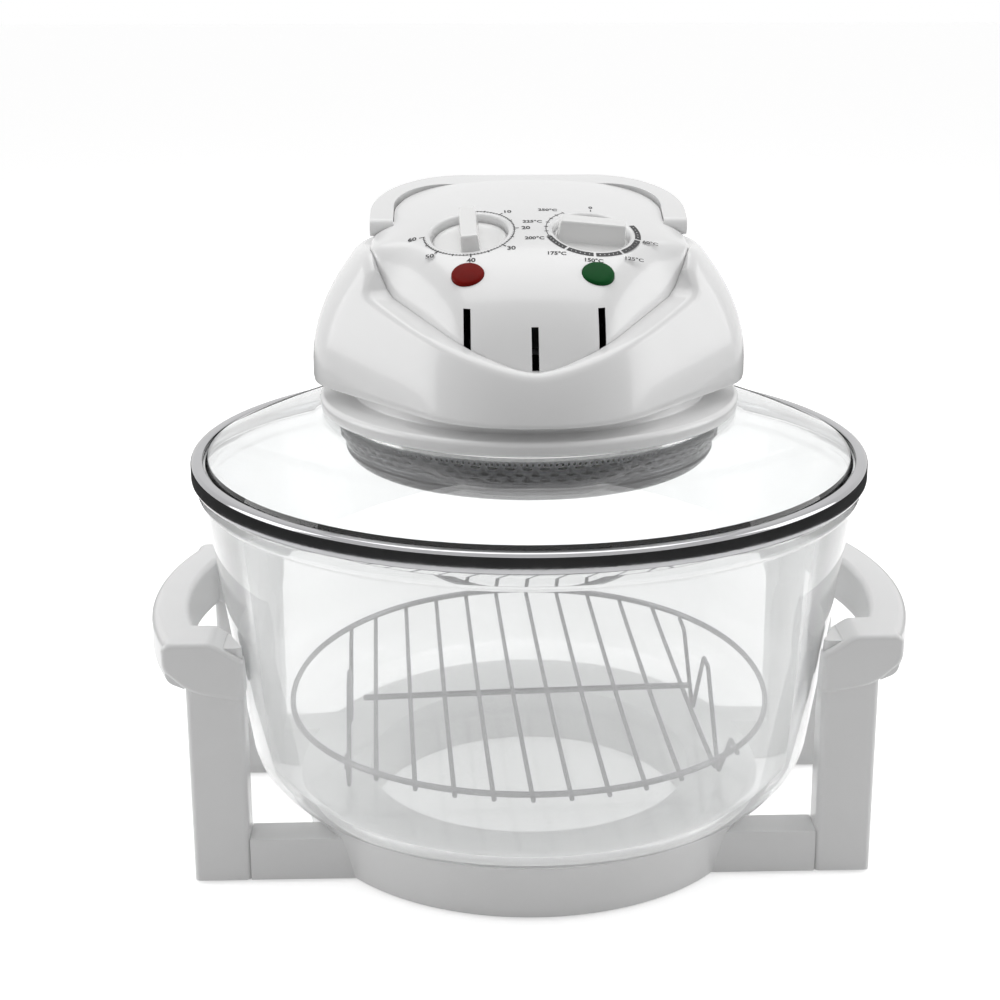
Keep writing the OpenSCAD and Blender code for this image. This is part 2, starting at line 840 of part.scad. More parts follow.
module insulation_plate() {
    color("wheat")
        on_lid(head_z)
            difference() {
                cylinder(r = floor_hole_r - 1, h = shell_t);
                translate([0, 0, -past])
                    cylinder(r = 10, h = shell_t + 2 * past);
                translate([0, -probe_r, -past])
                    cylinder(d = probe_d + 2 * run_gap, h = shell_t + 2 * past);
                cover_screws(shell_t);
            }
}

// Holes for the four screws that go up into the cover's posts
module cover_screws(h) {
    for (x = [-1, 1], b = boss_at)
        translate([x * b[0], b[1], -past])
            cylinder(d = screw_d + seat_gap, h = h + 2 * past);
}

// Steel plate across the bottom of the head, which carries the motor
module chassis_plate() {
    color("lightsteelblue")
        on_lid(chassis_z)
            difference() {
                cylinder(r = floor_hole_r + 4, h = chassis_t);
                translate([0, 0, -past])
                    cylinder(r = 6, h = chassis_t + 2 * past);
                translate([0, -probe_r, -past])
                    cylinder(d = probe_d + 2 * run_gap, h = chassis_t + 2 * past);
                for (a = [0:45:315])
                    rotate(a + 22.5)
                        translate([floor_hole_r - 8, 0, -past])
                            linear_extrude(chassis_t + 2 * past)
                                round_rect(5, 24, 2.4);
                cover_screws(chassis_t);
            }
}

module thermostat_probe() {
    color("silver")
        on_lid(0)
            translate([0, -probe_r, 0]) {
                translate([0, 0, tube_z])
                    cylinder(d = probe_d, h = chassis_z + 8 - tube_z);
                translate([0, 0, chassis_z + chassis_t])
                    cylinder(d = 10, h = 2);
            }
}

// HEAD

// Lower shell: a floor with a round hole, a bulging wall, and an edge that dips at the front
module head_body() {
    outer_share = [0, 0.15, 0.35, 0.55, 0.75, 0.92];
    inner_share = [0.9, 0.6, 0.3];
    base = body_plan(0, 0);
    n = len(base);
    deck = cover_plan(seat_gap);
    hole = [for (p = base) unit(p) * floor_hole_r];
    outer = [for (f = outer_share)
        [for (i = [0:n - 1]) let (h = lips[i] * f, p = body_plan(h, 0)[i]) [p[0], p[1], h]]];
    inner = [for (f = inner_share)
        [for (i = [0:n - 1])
            let (h = (lips[i] - 4.5) * f, p = body_plan(h, shell_t)[i]) [p[0], p[1], h]]];
    crest = [for (i = [0:n - 1]) let (p = body_plan(lips[i], 2)[i]) [p[0], p[1], lips[i]]];
    edge = [for (i = [0:n - 1]) [deck[i][0], deck[i][1], lips[i] - 1]];
    under = [for (i = [0:n - 1]) [deck[i][0], deck[i][1], lips[i] - 1 - fold_t]];
    foot = body_plan(0, shell_t);
    color("whitesmoke")
        on_lid(head_z)
            difference() {
                ring_skin(concat(outer, [crest, edge, under], inner,
                    [at_height(foot, shell_t), at_height(hole, shell_t),
                     at_height(hole, 0)]));
                at_inlet()
                    translate([0, 0, -12])
                        linear_extrude(24)
                            round_rect(inlet_w, inlet_h, 3);
            }
}

// Places a child at the power inlet, with its Z axis square to the sloping back
module at_inlet() {
    tilt = atan((body_back(inlet_z - 8) - body_back(inlet_z + 8)) / 16);
    translate([0, body_back(inlet_z), inlet_z])
        rotate([tilt - 90, 0, 0])
            children();
}

// Upper shell: the sloping face with its recesses, slots and the channel for the handle
module control_cover() {
    color("whitesmoke")
        difference() {
            union() {
                cover_shell();
                intersection() {
                    on_lid(head_z)
                        cover_skin(-1, 1, cover_top);
                    for (x = [-1, 1], b = boss_at)
                        on_lid(chassis_z + chassis_t + seat_gap)
                            translate([x * b[0], b[1], 0])
                                cylinder(r = boss_r, h = cover_top);
                }
            }
            for (x = [-1, 1]) {
                on_face(x * knob_x, -knob_y) {
                    translate([0, 0, recess_floor])
                        cylinder(d = recess_d, h = 20);
                    translate([0, 0, recess_floor - cup_t - past])
                        cylinder(d = spindle_d + 2 * run_gap, h = cup_t + 2 * past);
                }
                on_face(x * lamp_x, -lamp_y)
                    translate([0, 0, -10])
                        cylinder(d = lens_d + 0.4, h = 20);
            }
            for (x = [-1, 1], b = boss_at)
                on_lid(chassis_z)
                    translate([x * b[0], b[1], 0])
                        cylinder(d = screw_d + 0.2, h = chassis_t + boss_bore);
            vent(0, front_lip + 2);
            vent(-31, front_lip + 9);
            vent(31, front_lip + 9);
            bail_channel(0);
            on_lid(head_z)
                translate([-bail_x, pivot_y, pivot_h])
                    rotate([0, 90, 0])
                        cylinder(d = pin_d + 0.2, h = 2 * bail_x);
            at_plunger(-channel_under - past)
                cylinder(d = plunger_d + 2 * run_gap, h = channel_under);
        }
}

// The cover's wall, with the cups that the knobs sit in and the walls of the handle's channel
module cover_shell() {
    difference() {
        on_lid(head_z)
            cover_skin(0, 0, 6);
        difference() {
            on_lid(head_z)
                cover_skin(-shell_t, shell_t, 8);
            for (x = [-1, 1])
                on_face(x * knob_x, -knob_y)
                    translate([0, 0, recess_floor - cup_t])
                        cylinder(d = recess_d + 2 * cup_t, h = 20);
            bail_channel(shell_t);
        }
    }
}

// Places a child in the folded handle's plane, at its pivot
module at_pivot() {
    on_lid(head_z)
        translate([0, pivot_y, pivot_h])
            rotate([bail_slope, 0, 0])
                children();
}

// Places a child on the plunger's axis, at a height over the middle of the folded handle
module at_plunger(h) {
    at_pivot()
        translate([plunger_x, plunger_reach, h])
            children();
}
plunger_x = bail_x - bail_w + 1.5;
plunger_reach = 5.6;
plunger_d = 2.6;
switch_size = [8, 12, 14];
switch_edge = 2.4;
channel_under = bail_t / 2 + seat_gap + shell_t;

// One form of the cover, grown and lowered, down to a depth below its own edge
module cover_skin(grow, lower, depth) {
    shares = [1, 0.985, 0.95, 0.9, 0.82, 0.65, 0.45, 0.22];
    p = cover_plan(grow);
    foot = [for (q = p) [q[0], q[1], min(lip_height(q), face_h(q[0], q[1])) - depth]];
    rows = [for (s = shares) [for (q = p) face_point(q, s, lower)]];
    capped_skin(concat([foot], rows),
        [cover_mid[0], cover_mid[1], front_lip - depth],
        [cover_mid[0], cover_mid[1], face_h(cover_mid[0], cover_mid[1]) - lower]);
}

module vent(x, h) {
    on_lid(head_z + h)
        translate([x - vent_w / 2, -cover_front - 20, 0])
            cube([vent_w, 50, 17]);
}

// Room round the folded handle, cut from the cover, and grown to leave the channel's walls
module bail_channel(wall) {
    deep = bail_t / 2 + seat_gap + wall;
    in_x = bail_x - bail_w - seat_gap - wall;
    at_pivot()
        translate([0, 0, -deep])
            linear_extrude(60)
                difference() {
                    translate([-2 * bail_x, -bail_t / 2 - bail_end_gap - wall])
                        square([4 * bail_x, 2 * bail_l]);
                    bail_inside(in_x, bail_l - bail_w - bail_back_gap - wall, panel_r);
                }
}

bail_end_gap = 1;
bail_back_gap = 0.8;
panel_r = 36;
bail_in_r = 26;
bail_out_r = 45;

// Plan of what lies inside the handle: straight sides and round back corners
module bail_inside(half, reach, r) {
    translate([-half, -60])
        square([2 * half, 60 + reach - r]);
    translate([-half + r, -60])
        square([2 * half - 2 * r, 60 + reach]);
    for (x = [-1, 1])
        translate([x * (half - r), reach - r])
            circle(r);
}

module housing_screws() {
    color("silver")
        on_lid(head_z)
            for (x = [-1, 1], b = boss_at)
                translate([x * b[0], b[1], 0])
                    pan_screw(shell_t + chassis_t + boss_bore - past);
}

// MOTOR

module motor_bracket() {
    leg_x = cool_fan_r + 5;
    color("silver")
        on_lid(chassis_z + chassis_t)
            difference() {
                union() {
                    translate([-leg_x - bracket_t, -bracket_w / 2, bracket_h - bracket_t])
                        cube([2 * (leg_x + bracket_t), bracket_w, bracket_t]);
                    for (x = [-1, 1])
                        translate([x * (leg_x + bracket_t / 2), -bracket_w / 2, 0]) {
                            translate([-bracket_t / 2, 0, 0])
                                cube([bracket_t, bracket_w, bracket_h]);
                            translate([x * 4 - 5, 0, 0])
                                cube([10, bracket_w, bracket_t]);
                        }
                }
                linear_extrude(2 * bracket_h)
                    round_rect(14, 38, 2);
            }
}

module motor_stator() {
    color("slategray")
        on_lid(stator_z)
            difference() {
                translate([-stator_x / 2, -stator_y / 2 + 5, 0])
                    cube([stator_x, stator_y, stator_h]);
                translate([0, 0, -past])
                    cylinder(d = rotor_d + 2 * run_gap, h = stator_h + 2 * past);
                for (x = [-1, 1])
                    translate([x * 19 - 6, 17.5, -past])
                        cube([12, 6, stator_h + 2 * past]);
                for (x = [-1, 1], y = [-1, 1])
                    translate([x * (stator_x / 2 - 5), 5 + y * (stator_y / 2 - 5), -past])
                        cylinder(d = 4, h = stator_h + 2 * past);
            }
}

module motor_coil() {
    color("peru")
        on_lid(stator_z - 3)
            translate([0, 5 + stator_y / 2 - 6.4, 0])
                difference() {
                    translate([-12.8, -3, 0])
                        cube([25.6, 13, stator_h + 6]);
                    translate([-14, -6, 3 - 0.2])
                        cube([28, 12.4 + 0.2, stator_h + 0.4]);
                }
}

// Strips over and under the rotor, each with the bush that the shaft turns in
module bearing_brackets() {
    color("silver")
        for (side = [0, 1])
            on_lid(stator_z + side * stator_h)
                mirror([0, 0, 1 - side])
                    difference() {
                        union() {
                            for (y = [-1, 1])
                                translate([-6, y * 15.5 - 2, 0])
                                    cube([12, 4, 3.5]);
                            translate([-6, -17.5, 2])
                                cube([12, 35, 1.5]);
                            translate([0, 0, 1.5])
                                cylinder(d = 12, h = 3.5);
                        }
                        translate([0, 0, -past])
                            cylinder(d = shaft_d + 2 * seat_gap, h = 10);
                    }
}

module motor_shaft() {
    color("silver")
        on_lid(0)
            translate([0, 0, hot_fan_z - 8])
                cylinder(d = shaft_d, h = shaft_top - hot_fan_z + 8);
}

module motor_rotor() {
    color("gray")
        on_lid(stator_z)
            tube(rotor_d / 2, shaft_d / 2, stator_h);
}

module cooling_fan() {
    color("dimgray")
        on_lid(fan_z)
            difference() {
                union() {
                    cylinder(r = 8, h = 7);
                    for (i = [0:cool_blades - 1])
                        rotate(i * 360 / cool_blades)
                            translate([6, 0, 3.5])
                                rotate([25, 0, 0])
                                    translate([0, -6, -0.6])
                                        cube([cool_fan_r - 6.5, 12, 1.2]);
                }
                translate([0, 0, -past])
                    cylinder(d = shaft_d, h = 10);
            }
}

module hot_air_fan() {
    color("silver")
        on_lid(hot_fan_z)
            difference() {
                union() {
                    cylinder(r = 7, h = hot_fan_h);
                    cylinder(r = hot_fan_r - 8, h = 0.8);
                    for (i = [0:hot_blades - 1])
                        rotate(i * 360 / hot_blades)
                            translate([9, -0.4, 0])
                                cube([hot_fan_r - 9, 0.8, hot_fan_h]);
                }
                translate([0, 0, -past])
                    cylinder(d = shaft_d, h = hot_fan_h + 2 * past);
            }
}

module fan_nut() {
    color("silver")
        on_lid(hot_fan_z - 4)
            difference() {
                cylinder(d = 11, h = 4, $fn = 6);
                translate([0, 0, -past])
                    cylinder(d = shaft_d, h = 6, $fn = 48);
            }
}

// CONTROLS

// Clockwork timer under its recess: a plate, a round case and two tags
module timer_unit() {
    color("silver")
        on_face(-knob_x, -knob_y)
            translate([0, 0, recess_floor - cup_t])
                difference() {
                    union() {
                        translate([-19, -14, -unit_plate])
                            cube([38, 28, unit_plate]);
                        translate([0, 0, -unit_h])
                            cylinder(d = 36, h = unit_h);
                        for (y = [-1, 1])
                            translate([-21, y * 6 - 3, -14])
                                cube([5, 6, 0.8]);
                    }
                    translate([0, 0, -unit_h / 2])
                        cylinder(d = spindle_d + 2 * seat_gap, h = unit_h);
                }
}
unit_plate = 1.5;
unit_h = 18;

module timer_bell() {
    color("goldenrod")
        on_face(-knob_x, -knob_y)
            translate([0, 0, recess_floor - cup_t - unit_h - 7])
                difference() {
                    union() {
                        cylinder(d = 28, h = 4);
                        cylinder(d = 8, h = 7);
                    }
                    translate([0, 0, 1])
                        tube(13, 4, 5);
                }
}

module thermostat_unit() {
    color("tan")
        on_face(knob_x, -knob_y)
            translate([0, 0, recess_floor - cup_t])
                difference() {
                    union() {
                        translate([-19, -14, -unit_plate])
                            cube([38, 28, unit_plate]);
                        translate([0, 0, -unit_h - 4])
                            cylinder(d = 28, h = unit_h + 4);
                        for (y = [-1, 1])
                            translate([-17, y * 6 - 3, -16])
                                cube([5, 6, 0.8]);
                    }
                    translate([0, 0, -unit_h / 2])
                        cylinder(d = spindle_d + 2 * seat_gap, h = unit_h);
                }
}

// Spindle with a flat, from inside its unit up into the knob
module spindle(x) {
    low = recess_floor - cup_t - unit_h / 2 + seat_gap;
    top = knob_bar_h - 2;
    color("silver")
        on_face(x, -knob_y)
            translate([0, 0, low])
                difference() {
                    cylinder(d = spindle_d, h = top - low);
                    translate([spindle_flat, -spindle_d, recess_floor + run_gap - low])
                        cube([spindle_d, 2 * spindle_d, top - recess_floor]);
                }
}
spindle_flat = 2;

module timer_spindle() {
    spindle(-knob_x);
}

module temperature_spindle() {
    spindle(knob_x);
}

// Knob: a dished skirt and a finger bar with round ends, bored for the spindle's flat
module knob(bar_turn) {
    skirt_z = recess_floor + 0.6;
    skirt_h = 3;
    color("white")
        translate([0, 0, skirt_z])
            difference() {
                union() {
                    cylinder(d1 = knob_d, d2 = knob_d - 1.5, h = skirt_h);
                    rotate(bar_turn)
                        intersection() {
                            cylinder(d1 = knob_d - 1.5, d2 = knob_d - 3.5,
                                     h = skirt_h + knob_bar_h);
                            translate([-knob_bar / 2, -knob_d, 0])
                                cube([knob_bar, 2 * knob_d, skirt_h + knob_bar_h]);
                        }
                }
                difference() {
                    translate([0, 0, -past])
                        cylinder(d = spindle_d + 0.2,
                                 h = knob_bar_h - 2 - skirt_z + past + 0.2);
                    translate([spindle_flat + 0.1, -spindle_d, -2 * past])
                        cube([spindle_d, 2 * spindle_d, 2 * knob_bar_h]);
                }
            }
}

module timer_knob() {
    on_face(-knob_x, -knob_y)
        knob(0);
}

module temperature_knob() {
    on_face(knob_x, -knob_y)
        knob(90);
}

module lens(x, tint) {
    color(tint)
        on_face(x, -lamp_y)
            translate([0, 0, -4]) {
                cylinder(d = lens_d, h = 4 + lens_proud - 0.4);
                translate([0, 0, 4 + lens_proud - 0.4])
                    cylinder(d1 = lens_d, d2 = lens_d - 2, h = 0.4);
            }
}

module power_lens() {
    lens(-lamp_x, "firebrick");
}

module heat_lens() {
    lens(lamp_x, "seagreen");
}

// Sockets behind the lenses, each with its neon lamp's body and two leads
module lamp_holders() {
    color("ivory")
        for (x = [-1, 1])
            on_face(x * lamp_x, -lamp_y)
                translate([0, 0, -13]) {
                    cylinder(d = 10, h = 9);
                    translate([0, 0, 9 - 3.2])
                        tube(lens_d / 2 + 1.4, lens_d / 2 + 0.3, 2.4);
                    translate([-lens_d / 2 - 1, -2, 5.8])
                        cube([lens_d + 2, 4, 2.4]);
                }
}

// HANDLE

module carry_handle() {
    color("whitesmoke")
        at_pivot()
            difference() {
                union() {
                    translate([0, 0, -bail_t / 2])
                        linear_extrude(bail_t)
                            difference() {
                                intersection() {
                                    bail_inside(bail_x, bail_l, bail_out_r);
                                    translate([-2 * bail_x, 0])
                                        square([4 * bail_x, 2 * bail_l]);
                                }
                                bail_inside(bail_x - bail_w, bail_l - bail_w, bail_in_r);
                            }
                    for (x = [-bail_x, bail_x - bail_w])
                        translate([x, 0, 0])
                            rotate([0, 90, 0])
                                cylinder(d = bail_t, h = bail_w);
                }
                translate([-bail_x - past, 0, 0])
                    rotate([0, 90, 0])
                        cylinder(d = pin_d + 2 * run_gap, h = 2 * bail_x + 2 * past);
            }
}

module handle_pins() {
    color("silver")
        on_lid(head_z)
            for (x = [-bail_x + 1, bail_x - bail_w - 8])
                translate([x, pivot_y, pivot_h])
                    rotate([0, 90, 0])
                        cylinder(d = pin_d, h = bail_w + 7);
}

// Switch under the right arm of the handle: it cuts the power when the handle is lifted
module safety_switch() {
    color("darkslategray")
        at_plunger(-channel_under - switch_size[2])
            difference() {
                translate([switch_edge - switch_size[0], switch_edge - switch_size[1], 0])
                    cube(switch_size);
                translate([0, 0, switch_size[2] - 6])
                    cylinder(d = plunger_d + 2 * run_gap, h = 10);
            }
}

module switch_plunger() {
    low = -channel_under - 5;
    color("firebrick")
        at_plunger(low)
            cylinder(d = plunger_d, h = -bail_t / 2 - seat_gap - low);
}

// Appliance inlet in the back of the lower shell: a flange outside and a deep socket
module power_inlet() {
    color("black")
        on_lid(head_z)
            at_inlet()
                difference() {
                    union() {
                        translate([0, 0, -inlet_deep])
                            linear_extrude(inlet_deep + 1)
                                round_rect(inlet_w - 0.6, inlet_h - 0.6, 3);
                        translate([0, 0, inlet_proud])
                            linear_extrude(2)
                                round_rect(inlet_w + 8, inlet_h + 7, 4);
                    }
                    translate([0, 0, 2 - inlet_deep])
                        linear_extrude(2 * inlet_deep)
                            round_rect(inlet_w - 5, inlet_h - 5, 2);
                }
}
inlet_deep = 15;
inlet_proud = 0.4;

module inlet_pins() {
    color("silver")
        on_lid(head_z)
            at_inlet()
                for (x = [-7, 0, 7])
                    translate([x - 1, x == 0 ? -4 : 0, 2 - inlet_deep])
                        cube([2, 4, inlet_deep - 7]);
}

stand_base();
left_front_post();
left_rear_post();
right_front_post();
right_rear_post();
left_grip();
right_grip();
frame_screws();
rubber_feet();
glass_bowl();
rack_grate();
rack_legs();
lid_rim();
lid_glass();
lid_collar();
heater_guard();
guard_screws();
reflector_dish();
halogen_tube();
lamp_end_caps();
lamp_clips();
insulation_plate();
chassis_plate();
thermostat_probe();
head_body();
control_cover();
housing_screws();
motor_bracket();
motor_stator();
motor_coil();
bearing_brackets();
motor_shaft();
motor_rotor();
cooling_fan();
hot_air_fan();
fan_nut();
timer_unit();
timer_bell();
timer_spindle();
timer_knob();
thermostat_unit();
temperature_spindle();
temperature_knob();
power_lens();
heat_lens();
lamp_holders();
safety_switch();
switch_plunger();
carry_handle();
handle_pins();
power_inlet();
inlet_pins();
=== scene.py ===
import functools
import json
import math

import bmesh
import bpy
from mathutils import Matrix, Vector


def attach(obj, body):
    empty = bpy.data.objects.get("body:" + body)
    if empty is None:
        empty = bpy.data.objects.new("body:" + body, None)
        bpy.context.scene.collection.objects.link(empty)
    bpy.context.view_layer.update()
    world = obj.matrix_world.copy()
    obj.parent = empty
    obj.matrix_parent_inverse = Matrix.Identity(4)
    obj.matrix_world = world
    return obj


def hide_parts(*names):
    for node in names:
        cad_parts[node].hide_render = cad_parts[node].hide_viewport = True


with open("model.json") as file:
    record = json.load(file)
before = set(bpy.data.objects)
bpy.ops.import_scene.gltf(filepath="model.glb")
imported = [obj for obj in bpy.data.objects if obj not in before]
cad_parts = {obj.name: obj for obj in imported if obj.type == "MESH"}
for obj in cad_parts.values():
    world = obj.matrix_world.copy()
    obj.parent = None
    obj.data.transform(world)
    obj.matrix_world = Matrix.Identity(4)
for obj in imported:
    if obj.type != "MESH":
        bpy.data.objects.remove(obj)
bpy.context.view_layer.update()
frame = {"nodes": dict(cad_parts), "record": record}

MM = 0.001
NODES = frame["nodes"]
SLOT = {s["node"]: s["material_slot"] for s in frame["record"]["subparts"]}

# Sizes in millimetres. Most are those of the part's source. The knobs' recesses and bars, the
# radius of the panel inside the handle, the slots' height and place, and the corner radii of
# the two shells are this script's own.
BOWL_Z, FLOOR_Z, LID_Z, RACK_Z = 30.8, 35.8, 195.1, 71.8
HEAD_Z = LID_Z + 46.3
LIP_R, BOWL_H, WALL_TOP_R, WALL_LOW_R, CORNER_R, BOWL_T, LIP_H = 166, 164, 163.5, 145.5, 33, 5, 8
RIM_R, RIM_H, GLASS_T, DOME_H, HOLE_R = 169, 10, 4, 33, 98
COLLAR_R, FLANGE_Z, NECK_Z = 104, 33.3, 40.3
GUARD_R, GUARD_Z, GUARD_H = 94.5, 6.8, 24.5
HEAD_X, HEAD_FRONT, HEAD_BACK, SHELL_T = 107, 104, 98, 2.5
FRONT_LIP, SIDE_LIP, LIP_BEND, LIP_SLOPE = 24, 66, 4, 0.41
COVER_X, COVER_FRONT, COVER_BACK, COVER_TOP, COVER_FALL, CROWN_R = 77, 88, 62, 92, 70, 300
EDGE_START, EDGE_PROUD = 0.72, 1
KNOB_X, KNOB_Y, KNOB_D, RECESS_D, RECESS, CUP_LOW = 29.5, 18.6, 35, 37.4, 6, 6.5
LAMP_X, LAMP_Y, LENS_D = 30.4, 52.7, 15.3
PIVOT = Vector((0, 9, HEAD_Z + 73.5))
BAIL_X, BAIL_W, BAIL_T, BAIL_L, BAIL_SLOPE, PANEL_R = 78, 11.5, 9, 53, 15, 30
PIN_D, PLUNGER_D, PLUNGER_Y = 5, 2.6, 5.6
VENT_W, VENT_H, VENT_LOWER = 3.3, 18.5, 3
KNOB_GAP, BAR_H = 0.3, 11.4
BODY_RADII, COVER_RADII = [64, 41, 41, 50], [44, 28, 24, 24]


# Materials

def material(name, color, rough, metal=0.0, vary=0.03, scale=40.0, bump=0.0, grain=900.0,
             rough_vary=0.06, coat=0.0, stretch=None, **extra):
    """Principled material whose colour, roughness and bump vary by noise over the surface."""
    mat = bpy.data.materials.new(name)
    mat.use_nodes = True
    nodes, links = mat.node_tree.nodes, mat.node_tree.links
    bsdf = nodes["Principled BSDF"]
    bsdf.inputs["Metallic"].default_value = metal
    bsdf.inputs["Coat Weight"].default_value = coat
    if coat:
        bsdf.inputs["Coat Roughness"].default_value = 0.06
    for key, value in extra.items():
        bsdf.inputs[key.replace("_", " ")].default_value = value
    where = nodes.new("ShaderNodeTexCoord").outputs["Object"]
    if stretch:
        mapping = nodes.new("ShaderNodeMapping")
        mapping.inputs["Scale"].default_value = stretch
        links.new(where, mapping.inputs["Vector"])
        where = mapping.outputs["Vector"]

    def noise(size, detail=3.0):
        n = nodes.new("ShaderNodeTexNoise")
        n.inputs["Scale"].default_value = size
        n.inputs["Detail"].default_value = detail
        links.new(where, n.inputs["Vector"])
        return n.outputs["Fac"]

    ramp = nodes.new("ShaderNodeValToRGB")
    ramp.color_ramp.elements[0].position = 0.3
    ramp.color_ramp.elements[1].position = 0.7
    for element, share in zip(ramp.color_ramp.elements, (1 - vary, 1 + vary)):
        element.color = [min(1.0, c * share) for c in color[:3]] + [1.0]
    links.new(noise(scale), ramp.inputs["Fac"])
    links.new(ramp.outputs["Color"], bsdf.inputs["Base Color"])
    spread = nodes.new("ShaderNodeMapRange")
    spread.inputs["From Min"].default_value = 0.3
    spread.inputs["From Max"].default_value = 0.7
    spread.inputs["To Min"].default_value = max(0.0, rough - rough_vary)
    spread.inputs["To Max"].default_value = rough + rough_vary
    links.new(noise(scale * 2.3), spread.inputs["Value"])
    links.new(spread.outputs["Result"], bsdf.inputs["Roughness"])
    if bump:
        b = nodes.new("ShaderNodeBump")
        b.inputs["Strength"].default_value = bump
        b.inputs["Distance"].default_value = 0.0004
        links.new(noise(grain, 2.0), b.inputs["Height"])
        links.new(b.outputs["Normal"], bsdf.inputs["Normal"])
    return mat


def between(tree, share, low, high, socket):
    """Feeds a socket with low where share is 0, and high where it is 1."""
    spread = tree.nodes.new("ShaderNodeMapRange")
    spread.inputs["To Min"].default_value = low
    spread.inputs["To Max"].default_value = high
    tree.links.new(share, spread.inputs["Value"])
    tree.links.new(spread.outputs["Result"], socket)


def glass(name, tint, ior, milk=0.0, coat=0.0):
    """Glass with faint waves in its surface, and a share of milk that scatters the light."""
    mat = material(name, tint, 0.015, vary=0.01, scale=25, bump=0.01, grain=35, rough_vary=0.01,
                    coat=coat, IOR=ior, Transmission_Weight=1.0 - milk)
    # Lamps shine through it, as they do through real glass
    path = mat.node_tree.nodes.new("ShaderNodeLightPath")
    between(mat.node_tree, path.outputs["Is Shadow Ray"], 1.0, 0.15,
            mat.node_tree.nodes["Principled BSDF"].inputs["Alpha"])
    return mat


MATS = {
    "stand_plastic": material("stand_plastic", (0.80, 0.80, 0.80), 0.3, vary=0.008, bump=0.03,
                              grain=1300, rough_vary=0.01, coat=0.2),
    "grip_plastic": material("grip_plastic", (0.80, 0.80, 0.80), 0.3, vary=0.008, bump=0.02,
                             grain=1300, rough_vary=0.01, coat=0.15),
    "head_plastic": material("head_plastic", (0.82, 0.82, 0.82), 0.25, vary=0.006, bump=0.02,
                             grain=1200, rough_vary=0.01, coat=0.3),
    "knob_plastic": material("knob_plastic", (0.84, 0.84, 0.835), 0.25, vary=0.006, bump=0.02,
                             grain=1500, rough_vary=0.01, coat=0.3),
    "screw_steel": material("screw_steel", (0.55, 0.55, 0.56), 0.3, metal=1, bump=0.1),
    "foot_rubber": material("foot_rubber", (0.09, 0.09, 0.092), 0.75, vary=0.15, bump=0.5),
    "bowl_glass": glass("bowl_glass", (0.97, 0.975, 0.975), 1.15, milk=0.22, coat=0.6),
    "lid_glass": glass("lid_glass", (0.955, 0.965, 0.965), 1.46),
    "rack_wire": material("rack_wire", (0.2, 0.2, 0.205), 0.2, metal=1, vary=0.08, bump=0.08),
    "rim_steel": material("rim_steel", (0.42, 0.42, 0.43), 0.08, metal=1, vary=0.03, bump=0.02,
                          rough_vary=0.02),
    "guard_steel": material("guard_steel", (0.07, 0.07, 0.073), 0.15, metal=1, vary=0.06,
                            bump=0.03, rough_vary=0.03),
    "reflector": material("reflector", (0.8, 0.8, 0.81), 0.22, metal=1, vary=0.05, bump=0.08),
    "quartz": material("quartz", (0.93, 0.91, 0.87), 0.3, vary=0.03, Transmission_Weight=0.6),
    "ceramic": material("ceramic", (0.86, 0.83, 0.76), 0.6, vary=0.05, bump=0.3),
    "insulation": material("insulation", (0.6, 0.55, 0.46), 0.85, vary=0.2, scale=90, bump=0.6),
    "inner_steel": material("inner_steel", (0.6, 0.61, 0.63), 0.35, metal=1, vary=0.08,
                            bump=0.15, stretch=(1, 12, 12)),
    "motor_iron": material("motor_iron", (0.2, 0.21, 0.22), 0.5, metal=1, vary=0.2,
                           bump=0.5, grain=1400, stretch=(0.05, 0.05, 6)),
    "coil": material("coil", (0.6, 0.27, 0.1), 0.35, metal=1, vary=0.2, bump=0.6,
                     grain=1400, stretch=(0.1, 0.1, 3)),
    "fan_plastic": material("fan_plastic", (0.05, 0.05, 0.052), 0.5, vary=0.1, bump=0.2),
    "fan_aluminium": material("fan_aluminium", (0.72, 0.72, 0.74), 0.3, metal=1, bump=0.15),
    "bell_brass": material("bell_brass", (0.75, 0.52, 0.2), 0.25, metal=1, bump=0.1),
    "unit_tan": material("unit_tan", (0.35, 0.23, 0.13), 0.55, vary=0.2, bump=0.3),
    "lens_red": material("lens_red", (0.17, 0.005, 0.003), 0.4, vary=0.12, scale=120,
                         Specular_IOR_Level=0.05),
    "lens_green": material("lens_green", (0.005, 0.07, 0.016), 0.4, vary=0.12, scale=120,
                           Specular_IOR_Level=0.05),
    "switch_black": material("switch_black", (0.03, 0.03, 0.032), 0.5, bump=0.2),
    "plunger_red": material("plunger_red", (0.4, 0.03, 0.02), 0.45, bump=0.2),
    "inlet_black": material("inlet_black", (0.025, 0.025, 0.025), 0.45, vary=0.1, bump=0.2),
}
PRINT = material("dial_print", (0.02, 0.02, 0.022), 0.55, vary=0.15, scale=300)


# Meshes

def piece(name, verts, faces, slot, replace=(), sharp=30.0, mat=None):
    """Object from points in millimetres, shaded smooth up to an angle; it hides the CAD nodes it
    replaces.
    """
    mesh = bpy.data.meshes.new(name)
    mesh.from_pydata([Vector(v) * MM for v in verts], [], faces)
    return finish_piece(mesh, name, slot, replace, sharp, mat)


def finish_piece(mesh, name, slot, replace=(), sharp=30.0, mat=None):
    bm = bmesh.new()
    bm.from_mesh(mesh)
    bmesh.ops.recalc_face_normals(bm, faces=bm.faces)
    bm.to_mesh(mesh)
    bm.free()
    mesh.polygons.foreach_set("use_smooth", [True] * len(mesh.polygons))
    mesh.set_sharp_from_angle(angle=math.radians(sharp))
    mesh.materials.clear()
    mesh.materials.append(mat or MATS[slot])
    obj = bpy.data.objects.new(name, mesh)
    bpy.context.scene.collection.objects.link(obj)
    if replace:
        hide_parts(*replace)
    return obj


